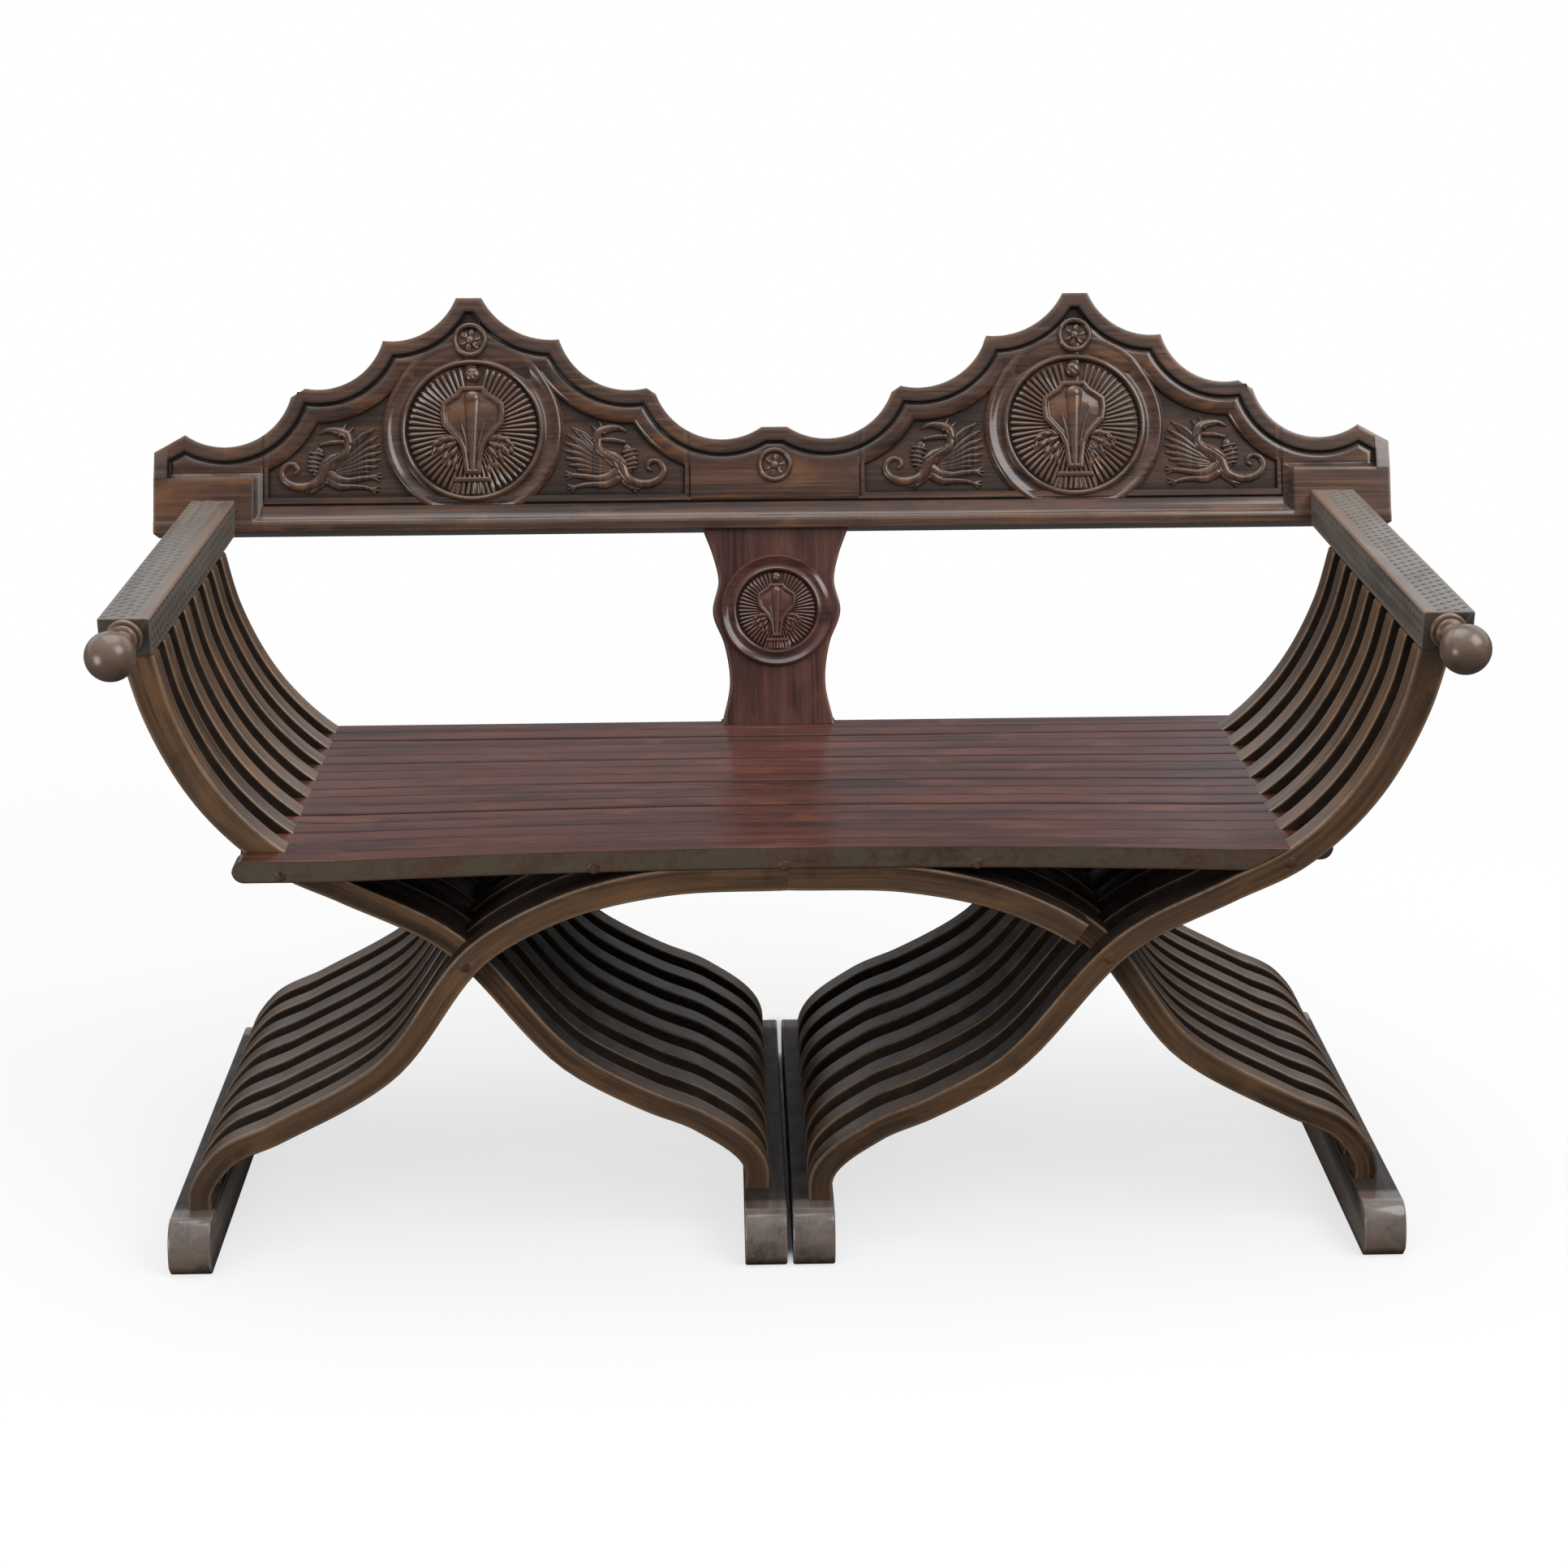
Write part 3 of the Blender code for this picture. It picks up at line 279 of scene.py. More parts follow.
def plate(outline: np.ndarray, depth: float, easing: float, arc: int = 3) -> Shell:
    """A plate with eased edges, its outline in the first two axes and its depth in the third.

    Args:
        outline: Closed outline, one row for each point.
        depth: Thickness, half to each side.
        easing: Radius of the edges.
        arc: Steps round an edge.

    Returns:
        A closed shell.
    """
    closed = np.concatenate([outline[-1:], outline, outline[:1]])
    ahead = closed[2:] - closed[1:-1]
    behind = closed[1:-1] - closed[:-2]
    ahead /= np.linalg.norm(ahead, axis=1, keepdims=True)
    behind /= np.linalg.norm(behind, axis=1, keepdims=True)
    area = np.sum(outline[:, 0] * np.roll(outline[:, 1], -1) - np.roll(outline[:, 0], -1) * outline[:, 1])
    way = 1.0 if area > 0.0 else -1.0
    inward = way * np.stack([-(ahead + behind)[:, 1], (ahead + behind)[:, 0]], axis=1)
    inward /= np.maximum(np.linalg.norm(inward, axis=1, keepdims=True), 1e-9)
    spread = np.clip(np.sum(inward * way * np.stack([-ahead[:, 1], ahead[:, 0]], axis=1), axis=1), 0.4, 1.0)
    inward /= spread[:, None]
    rings, wear = [], []
    angles = [math.pi / 2 * k / arc for k in range(arc + 1)]
    levels = [(-depth / 2 + easing * (1 - math.sin(a)), easing * (1 - math.cos(a)), 1.0) for a in angles[::-1]]
    levels += [(depth / 2 - easing * (1 - math.sin(a)), easing * (1 - math.cos(a)), 1.0) for a in angles]
    for level, drawn, worn in levels:
        flat = outline + inward * drawn
        rings.append(np.concatenate([flat, np.full((len(flat), 1), level)], axis=1))
        wear.append(np.full(len(flat), worn if 0.0 < drawn < easing else 0.0))
    rings = np.array(rings)
    return loft(rings, rings.copy(), np.array(wear))


def as_piece(name: str, mesh: bpy.types.Mesh, material: bpy.types.Material) -> bpy.types.Object:
    """Links a mesh to the scene as an object in one material."""
    mesh.materials.clear()
    mesh.materials.append(material)
    piece = bpy.data.objects.new(name, mesh)
    bpy.context.scene.collection.objects.link(piece)
    return piece


def enter(piece: bpy.types.Object, nodes: list[str] = ()) -> bpy.types.Object:
    """Makes a piece part of the settee.

    Args:
        piece: The finished object.
        nodes: CAD nodes that it stands for.

    Returns:
        The same object.
    """
    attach(piece, "root")
    if nodes:
        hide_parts(*nodes)
    log.info("%s: %d faces, for %d nodes", piece.name, len(piece.data.polygons), len(nodes))
    return piece


# Node trees


class Graph:
    """A node tree that is filled node by node."""

    def __init__(self, tree: bpy.types.NodeTree) -> None:
        """Keeps the tree that is filled."""
        self.tree = tree

    def feed(self, socket: bpy.types.NodeSocket, value: object) -> None:
        """Links a socket to another, or gives it a plain value."""
        if isinstance(value, bpy.types.NodeSocket):
            self.tree.links.new(value, socket)
        else:
            socket.default_value = value

    def node(self, kind: str, inputs: dict | None = None, **settings: object) -> bpy.types.Node:
        """Adds a node.

        Args:
            kind: Blender's name for the type of node.
            inputs: Values or sockets for its inputs, by name or number.
            settings: Properties of the node.

        Returns:
            The node.
        """
        node = self.tree.nodes.new(kind)
        for key, value in settings.items():
            setattr(node, key, value)
        for key, value in (inputs or {}).items():
            self.feed(node.inputs[key], value)
        return node

    def math(self, operation: str, *values: object, clamp: bool = False) -> bpy.types.NodeSocket:
        """The result of one sum on numbers."""
        return self.node("ShaderNodeMath", dict(enumerate(values)), operation=operation, use_clamp=clamp).outputs[0]

    def vector(self, operation: str, *values: object) -> bpy.types.NodeSocket:
        """The result of one sum on vectors."""
        return self.node("ShaderNodeVectorMath", dict(enumerate(values)), operation=operation).outputs[0]

    def scaled(self, vector: object, factor: object) -> bpy.types.NodeSocket:
        """A vector times a number."""
        node = self.node("ShaderNodeVectorMath", {0: vector, "Scale": factor}, operation="SCALE")
        return node.outputs[0]

    def xyz(self, x: object = 0.0, y: object = 0.0, z: object = 0.0) -> bpy.types.NodeSocket:
        """A vector from its three parts."""
        return self.node("ShaderNodeCombineXYZ", {0: x, 1: y, 2: z}).outputs[0]

    def parts(self, vector: bpy.types.NodeSocket) -> list[bpy.types.NodeSocket]:
        """The three parts of a vector."""
        return list(self.node("ShaderNodeSeparateXYZ", {0: vector}).outputs)

    def noise(self, vector: object, scale: float, detail: float = 2.0, rough: float = 0.5,
              twist: float = 0.0) -> bpy.types.NodeSocket:
        """A soft noise between 0 and 1."""
        inputs = {"Vector": vector, "Scale": scale, "Detail": detail, "Roughness": rough, "Distortion": twist}
        return self.node("ShaderNodeTexNoise", inputs).outputs[0]

    def spread(self, value: object, low: float, high: float, to_low: float = 0.0,
               to_high: float = 1.0) -> bpy.types.NodeSocket:
        """A value moved smoothly from one range to another."""
        inputs = {0: value, 1: low, 2: high, 3: to_low, 4: to_high}
        return self.node("ShaderNodeMapRange", inputs, interpolation_type="SMOOTHSTEP").outputs[0]

    def blend(self, share: object, one: object, other: object) -> bpy.types.NodeSocket:
        """A colour between two colours."""
        return self.node("ShaderNodeMix", {0: share, 6: one, 7: other}, data_type="RGBA").outputs[2]


def new_group(name: str, kind: str, inputs: list[tuple[str, str, object]],
              outputs: list[tuple[str, str]]) -> tuple[Graph, bpy.types.Node, bpy.types.Node]:
    """Starts a node group with named sockets.

    Args:
        name: Name of the group.
        kind: Blender's name for the type of tree.
        inputs: Name, type and default value of each input.
        outputs: Name and type of each output.

    Returns:
        The graph, its input node and its output node.
    """
    tree = bpy.data.node_groups.new(name, kind)
    for label, socket_type, value in inputs:
        socket = tree.interface.new_socket(name=label, in_out="INPUT", socket_type=socket_type)
        if value is not None:
            socket.default_value = value
    for label, socket_type in outputs:
        tree.interface.new_socket(name=label, in_out="OUTPUT", socket_type=socket_type)
    graph = Graph(tree)
    return graph, graph.node("NodeGroupInput"), graph.node("NodeGroupOutput")


def grown(name: str, base: bpy.types.Mesh, tree: bpy.types.NodeTree, values: dict[str, object]) -> bpy.types.Mesh:
    """Runs a Geometry Nodes tree on a mesh.

    Args:
        name: Name of the new mesh.
        base: Mesh that the tree starts from.
        tree: The tree.
        values: Its inputs by name.

    Returns:
        The result as a plain mesh.
    """
    source = bpy.data.objects.new(name + "_source", base)
    bpy.context.scene.collection.objects.link(source)
    modifier = source.modifiers.new("Grow", "NODES")
    modifier.node_group = tree
    keys = {item.name: item.identifier for item in tree.interface.items_tree if item.in_out == "INPUT"}
    for label, value in values.items():
        modifier[keys[label]] = value
    depsgraph = bpy.context.evaluated_depsgraph_get()
    mesh = bpy.data.meshes.new_from_object(source.evaluated_get(depsgraph), preserve_all_data_layers=True,
                                           depsgraph=depsgraph)
    mesh.name = name
    source.modifiers.remove(modifier)
    bpy.data.objects.remove(source)
    return mesh


class Growth:
    """The Geometry Nodes trees that repeat the settee's parts."""

    def __init__(self) -> None:
        """Builds the trees."""
        self.planes = self.build_planes()
        self.wheel = self.build_wheel()
        self.row = self.build_row()
        self.chips = self.build_chips()

    @staticmethod
    def close(graph: Graph, end: bpy.types.Node, geometry: object, material: object) -> None:
        """Ends a tree in Realize Instances and Set Material."""
        real = graph.node("GeometryNodeRealizeInstances", {"Geometry": geometry}).outputs[0]
        dressed = graph.node("GeometryNodeSetMaterial", {"Geometry": real, "Material": material}).outputs[0]
        graph.feed(end.inputs[0], dressed)

    def build_planes(self) -> bpy.types.NodeTree:
        """A tree that repeats a slat from plane to plane, each with its own figure, seams and bow, and paints shade on
        the sides that face other slats.

        Returns:
            The tree, with inputs for the number of slats, their pitch, open seams, bow, painted shade between slats and
            material.
        """
        graph, start, end = new_group(
            "Slats_by_plane", "GeometryNodeTree",
            [("Slat", "NodeSocketGeometry", None), ("Count", "NodeSocketInt", 8),
             ("First", "NodeSocketFloat", 0.0), ("Pitch", "NodeSocketFloat", 0.0546),
             ("Seam", "NodeSocketFloat", 0.0), ("Open", "NodeSocketInt", -1), ("Ajar", "NodeSocketInt", -1),
             ("Bow", "NodeSocketFloat", 0.0), ("Bent", "NodeSocketFloat", 0.0), ("Half", "NodeSocketFloat", 0.46),
             ("Bowed from", "NodeSocketFloat", -0.28), ("Straight from", "NodeSocketFloat", 0.10),
             ("Ceiling", "NodeSocketFloat", 9.0), ("Thickness", "NodeSocketFloat", 0.027),
             ("Between", "NodeSocketFloat", 0.0), ("Seed", "NodeSocketInt", 3),
             ("Material", "NodeSocketMaterial", None)],
            [("Slats", "NodeSocketGeometry")])
        given = start.outputs
        line = graph.node("GeometryNodeMeshLine", {
            "Count": given["Count"], "Start Location": graph.xyz(0.0, given["First"]),
            "Offset": graph.xyz(0.0, given["Pitch"])})
        copies = graph.node("GeometryNodeInstanceOnPoints", {
            "Points": line.outputs[0], "Instance": given["Slat"]})
        index = graph.node("GeometryNodeInputIndex").outputs[0]
        numbered = graph.node("GeometryNodeStoreNamedAttribute", {
            "Geometry": copies.outputs[0], "Name": "board", "Value": index}, data_type="INT", domain="INSTANCE")
        real = graph.node("GeometryNodeRealizeInstances", {"Geometry": numbered.outputs[0]}).outputs[0]
        board = graph.node("GeometryNodeInputNamedAttribute", {"Name": "board"}, data_type="INT").outputs[0]
        grain = graph.node("GeometryNodeInputNamedAttribute", {"Name": "grain"}, data_type="FLOAT_VECTOR").outputs[0]
        x, y, z = graph.parts(graph.node("GeometryNodeInputPosition").outputs[0])
        run = graph.noise(graph.xyz(x, graph.math("MULTIPLY", board, 3.7)), 3.0, 2.0)
        loose = graph.math("ADD", graph.math("COMPARE", board, given["Open"], 0.1),
                           graph.math("MULTIPLY", graph.math("COMPARE", board, given["Ajar"], 0.1), 0.55))
        wide = graph.math("MULTIPLY", graph.math("ADD", loose, 0.12), given["Seam"])
        wide = graph.math("MULTIPLY", wide, graph.spread(run, 0.25, 0.65, 0.25, 1.0))
        behind = graph.math("GREATER_THAN", graph.parts(grain)[2], 0.0)
        drawn = graph.math("MULTIPLY", graph.math("MULTIPLY", wide, behind), -1.0)
        far = graph.math("DIVIDE", x, given["Half"])
        arch = graph.math("MAXIMUM", graph.math("SUBTRACT", 1.0, graph.math("MULTIPLY", far, far)), 0.0)
        span = graph.math("SUBTRACT", given["Straight from"], given["Bowed from"])
        fade = graph.math("DIVIDE", graph.math("SUBTRACT", given["Straight from"], y), span, clamp=True)
        lift = graph.math("MULTIPLY", given["Bow"], graph.math("MULTIPLY", arch, fade))
        raised = graph.math("ADD", z, graph.math("MULTIPLY", lift, given["Bent"]))
        planed = graph.math("MINIMUM", raised, graph.math("ADD", given["Ceiling"], lift))
        settled = graph.node("GeometryNodeSetPosition", {
            "Geometry": real, "Offset": graph.xyz(0.0, drawn, graph.math("SUBTRACT", planed, z))}).outputs[0]
        shift = graph.node("FunctionNodeRandomValue", {
            0: (0.0, 0.0, 0.0), 1: (9.0, 9.0, 9.0), "ID": board, "Seed": given["Seed"]},
            data_type="FLOAT_VECTOR").outputs[0]
        figured = graph.node("GeometryNodeStoreNamedAttribute", {
            "Name": "grain", "Value": graph.vector("ADD", grain, shift)},
            data_type="FLOAT_VECTOR", domain="POINT")
        # Painted shade on the slat sides that face other slats, all but the first slat's front and the last slat's
        # back.
        deep = graph.parts(grain)[2]
        flank = graph.math("GREATER_THAN", graph.math("ABSOLUTE", deep),
                           graph.math("MULTIPLY_ADD", given["Thickness"], 0.5, -1e-5))
        first = graph.math("MULTIPLY", graph.math("LESS_THAN", board, 0.5), graph.math("LESS_THAN", deep, 0.0))
        final = graph.math("MULTIPLY", behind, graph.math(
            "GREATER_THAN", board, graph.math("SUBTRACT", given["Count"], 1.5)))
        inner = graph.math("MULTIPLY", flank, graph.math("SUBTRACT", 1.0, graph.math("ADD", first, final)))
        shade = graph.node("GeometryNodeInputNamedAttribute", {"Name": "shade"}, data_type="FLOAT").outputs[0]
        darkened = graph.node("GeometryNodeStoreNamedAttribute", {
            "Geometry": settled, "Name": "shade",
            "Value": graph.math("MAXIMUM", shade, graph.math("MULTIPLY", inner, given["Between"]))},
            data_type="FLOAT", domain="POINT").outputs[0]
        graph.feed(figured.inputs["Geometry"], darkened)
        self.close(graph, end, figured.outputs[0], given["Material"])
        return graph.tree

    def build_wheel(self) -> bpy.types.NodeTree:
        """A tree that sets copies of one small shape round a circle, out along x.

        Returns:
            The tree, with inputs for the number, radius, spread of sizes and material.
        """
        graph, start, end = new_group(
            "Wheel_of_copies", "GeometryNodeTree",
            [("Shape", "NodeSocketGeometry", None), ("Count", "NodeSocketInt", 84),
             ("Radius", "NodeSocketFloat", 0.05), ("Turn", "NodeSocketFloat", 0.0),
             ("Arc", "NodeSocketFloat", 2 * math.pi),
             ("Unevenness", "NodeSocketFloat", 0.06), ("Seed", "NodeSocketInt", 11),
             ("Material", "NodeSocketMaterial", None)],
            [("Wheel", "NodeSocketGeometry")])
        index = graph.node("GeometryNodeInputIndex").outputs[0]
        share = graph.math("DIVIDE", index, start.outputs["Count"])
        angle = graph.math("ADD", graph.math("MULTIPLY", share, start.outputs["Arc"]), start.outputs["Turn"])
        place = graph.scaled(graph.xyz(graph.math("COSINE", angle), graph.math("SINE", angle)),
                             start.outputs["Radius"])
        points = graph.node("GeometryNodePoints", {"Count": start.outputs["Count"], "Position": place})
        uneven = start.outputs["Unevenness"]
        size = graph.node("FunctionNodeRandomValue", {
            2: graph.math("SUBTRACT", 1.0, uneven), 3: graph.math("ADD", 1.0, uneven),
            "Seed": start.outputs["Seed"]}, data_type="FLOAT").outputs[1]
        turn = graph.node("FunctionNodeEulerToRotation", {0: graph.xyz(0.0, 0.0, angle)}).outputs[0]
        copies = graph.node("GeometryNodeInstanceOnPoints", {
            "Points": points.outputs[0], "Instance": start.outputs["Shape"],
            "Rotation": turn, "Scale": graph.xyz(size, size, 1.0)})
        self.close(graph, end, copies.outputs[0], start.outputs["Material"])
        return graph.tree

    def build_row(self) -> bpy.types.NodeTree:
        """A tree that sets one small shape at each point of a mesh of points.

        Returns:
            The tree, with inputs for the shape and the material.
        """
        graph, start, end = new_group(
            "Shape_at_points", "GeometryNodeTree",
            [("Points", "NodeSocketGeometry", None), ("Shape", "NodeSocketObject", None),
             ("Unevenness", "NodeSocketFloat", 0.04), ("Seed", "NodeSocketInt", 7),
             ("Material", "NodeSocketMaterial", None)],
            [("Row", "NodeSocketGeometry")])
        shape = graph.node("GeometryNodeObjectInfo", {0: start.outputs["Shape"]})
        uneven = start.outputs["Unevenness"]
        size = graph.node("FunctionNodeRandomValue", {
            2: graph.math("SUBTRACT", 1.0, uneven), 3: graph.math("ADD", 1.0, uneven),
            "Seed": start.outputs["Seed"]}, data_type="FLOAT").outputs[1]
        copies = graph.node("GeometryNodeInstanceOnPoints", {
            "Points": start.outputs["Points"], "Instance": shape.outputs["Geometry"],
            "Scale": graph.xyz(size, size, size)})
        self.close(graph, end, copies.outputs[0], start.outputs["Material"])
        return graph.tree

    def build_chips(self) -> bpy.types.NodeTree:
        """A tree that cuts staggered rows of leaf-shaped chips into a face and paints shade in them.

        Returns:
            The tree, with inputs for the chips' pitch, rows, size, lean and depth, and the material.
        """
        graph, start, end = new_group(
            "Chip_carving", "GeometryNodeTree",
            [("Bar", "NodeSocketGeometry", None), ("Pitch", "NodeSocketFloat", 0.0140),
             ("Row", "NodeSocketFloat", 0.0092), ("Length", "NodeSocketFloat", 0.43),
             ("Width", "NodeSocketFloat", 0.165), ("Lean", "NodeSocketFloat", 0.3),
             ("Depth", "NodeSocketFloat", 0.0030), ("Material", "NodeSocketMaterial", None)],
            [("Carved", "NodeSocketGeometry")])
        chip = graph.node("GeometryNodeInputNamedAttribute", {"Name": "chip"}, data_type="FLOAT_VECTOR").outputs[0]
        along, across, cut = graph.parts(chip)
        rows = graph.math("DIVIDE", across, start.outputs["Row"])
        row = graph.math("FLOOR", rows)
        level = graph.math("SUBTRACT", graph.math("SUBTRACT", rows, row), 0.5)
        stagger = graph.math("MULTIPLY", graph.math("MODULO", graph.math("ADD", row, 64.0), 2.0), 0.5)
        jitter = graph.noise(graph.xyz(along, row), 40.0, 1.0)
        step = graph.math("ADD", graph.math("ADD", graph.math("DIVIDE", along, start.outputs["Pitch"]), stagger),
                          graph.math("MULTIPLY", level, start.outputs["Lean"]))
        step = graph.math("ADD", step, graph.math("MULTIPLY", jitter, 0.20))
        beside = graph.math("ABSOLUTE", graph.math("SUBTRACT", graph.math("FRACT", step), 0.5))
        reach = graph.math("DIVIDE", level, start.outputs["Length"])
        leaf = graph.math("SUBTRACT", 1.0, graph.math("MULTIPLY", reach, reach))
        wide = graph.math("MULTIPLY", graph.math("MAXIMUM", leaf, 0.0), start.outputs["Width"])
        vee = graph.math("SUBTRACT", 1.0, graph.math("DIVIDE", beside, graph.math("MAXIMUM", wide, 0.001)), clamp=True)
        sunk = graph.math("MULTIPLY", graph.math("MULTIPLY", vee, cut), graph.math("MAXIMUM", leaf, 0.0))
        normal = graph.node("GeometryNodeInputNormal").outputs[0]
        drop = graph.scaled(normal, graph.math("MULTIPLY", graph.math("MULTIPLY", sunk, start.outputs["Depth"]), -1.0))
        carved = graph.node("GeometryNodeSetPosition", {"Geometry": start.outputs["Bar"], "Offset": drop}).outputs[0]
        # Painted shade in the chips.
        old = graph.node("GeometryNodeInputNamedAttribute", {"Name": "shade"}, data_type="FLOAT").outputs[0]
        dark = graph.math("MAXIMUM", old, graph.math("MULTIPLY", sunk, 3.0), clamp=True)
        kept = graph.node("GeometryNodeStoreNamedAttribute", {
            "Geometry": carved, "Name": "shade", "Value": dark}, data_type="FLOAT", domain="POINT").outputs[0]
        self.close(graph, end, kept, start.outputs["Material"])
        return graph.tree


# Finishes


class WoodEffects:
    """The shader groups that every walnut finish shares."""

    def __init__(self) -> None:
        """Builds the groups."""
        self.figure = self.build_figure()
        self.rubbing = self.build_rubbing()
        self.dirt = self.build_dirt()

    @staticmethod
    def build_figure() -> bpy.types.NodeTree:
        """The figure of walnut: bands, streaks, clouds and pores along the grain.

        Returns:
            A group that gives a colour, the pores and the clouds.
        """
        graph, start, end = new_group(
            "Walnut_figure", "ShaderNodeTree",
            [("Grain", "NodeSocketVector", (0.0, 0.0, 0.0)), ("Dark", "NodeSocketColor", (0.03, 0.015, 0.01, 1.0)),
             ("Mid", "NodeSocketColor", (0.1, 0.05, 0.03, 1.0)), ("Light", "NodeSocketColor", (0.2, 0.1, 0.06, 1.0))],
            [("Colour", "NodeSocketColor"), ("Pores", "NodeSocketFloat"), ("Clouds", "NodeSocketFloat")])
        grain = start.outputs["Grain"]
        bands = graph.noise(graph.vector("MULTIPLY", grain, (1.6, 34.0, 34.0)), 1.0, 4.0, 0.55, 0.6)
        streaks = graph.noise(graph.vector("MULTIPLY", grain, (5.0, 230.0, 230.0)), 1.0, 3.0, 0.6)
        clouds = graph.noise(graph.vector("MULTIPLY", grain, (5.0, 11.0, 11.0)), 1.0, 3.0, 0.55)
        fine = graph.noise(graph.vector("MULTIPLY", grain, (28.0, 1500.0, 1500.0)), 1.0, 1.0)
        pores = graph.spread(fine, 0.60, 0.74)
        colour = graph.blend(graph.spread(bands, 0.30, 0.62), start.outputs["Dark"], start.outputs["Mid"])
        bright = graph.math("MULTIPLY", graph.spread(streaks, 0.40, 0.72), graph.spread(clouds, 0.25, 0.75, 0.25, 1.0))
        colour = graph.blend(graph.math("MULTIPLY", bright, 0.75), colour, start.outputs["Light"])
        patches = graph.noise(graph.vector("MULTIPLY", grain, (7.0, 22.0, 22.0)), 1.0, 5.0, 0.62, 0.5)
        colour = graph.blend(graph.spread(patches, 0.50, 0.72, 0.0, 0.80), colour, start.outputs["Light"])
        colour = graph.blend(graph.spread(patches, 0.28, 0.46, 0.62, 0.0), colour, start.outputs["Dark"])
        colour = graph.blend(graph.math("MULTIPLY", pores, 0.45), colour, start.outputs["Dark"])
        graph.feed(end.inputs["Colour"], colour)
        graph.feed(end.inputs["Pores"], pores)
        graph.feed(end.inputs["Clouds"], clouds)
        return graph.tree

    @staticmethod
    def build_rubbing() -> bpy.types.NodeTree:
        """Edges that hands and cloths have paled, with painted highlight along them, in uneven lengths.

        Returns:
            A group that gives a mask.
        """
        graph, start, end = new_group(
            "Rubbed_edges", "ShaderNodeTree",
            [("Wear", "NodeSocketFloat", 0.0), ("Place", "NodeSocketVector", (0.0, 0.0, 0.0))],
            [("Mask", "NodeSocketFloat")])
        long = graph.noise(start.outputs["Place"], 14.0, 3.0, 0.6)
        short = graph.noise(start.outputs["Place"], 160.0, 2.0, 0.6)
        uneven = graph.math("ADD", graph.math("MULTIPLY", long, 0.65), graph.math("MULTIPLY", short, 0.35))
        mask = graph.math("MULTIPLY", start.outputs["Wear"], graph.spread(uneven, 0.30, 0.62, 0.25, 1.0), clamp=True)
        graph.feed(end.inputs["Mask"], mask)
        return graph.tree

    @staticmethod
    def build_dirt() -> bpy.types.NodeTree:
        """Shade painted into cuts, corners, gaps and hollows, with old polish and dust settled there.

        Returns:
            A group that gives a mask.
        """
        graph, start, end = new_group(
            "Settled_wax", "ShaderNodeTree",
            [("Shade", "NodeSocketFloat", 0.0), ("Place", "NodeSocketVector", (0.0, 0.0, 0.0))],
            [("Mask", "NodeSocketFloat")])
        patches = graph.noise(start.outputs["Place"], 45.0, 3.0, 0.6)
        mask = graph.math("MULTIPLY", start.outputs["Shade"], graph.spread(patches, 0.2, 0.7, 0.80, 1.0), clamp=True)
        graph.feed(end.inputs["Mask"], mask)
        return graph.tree


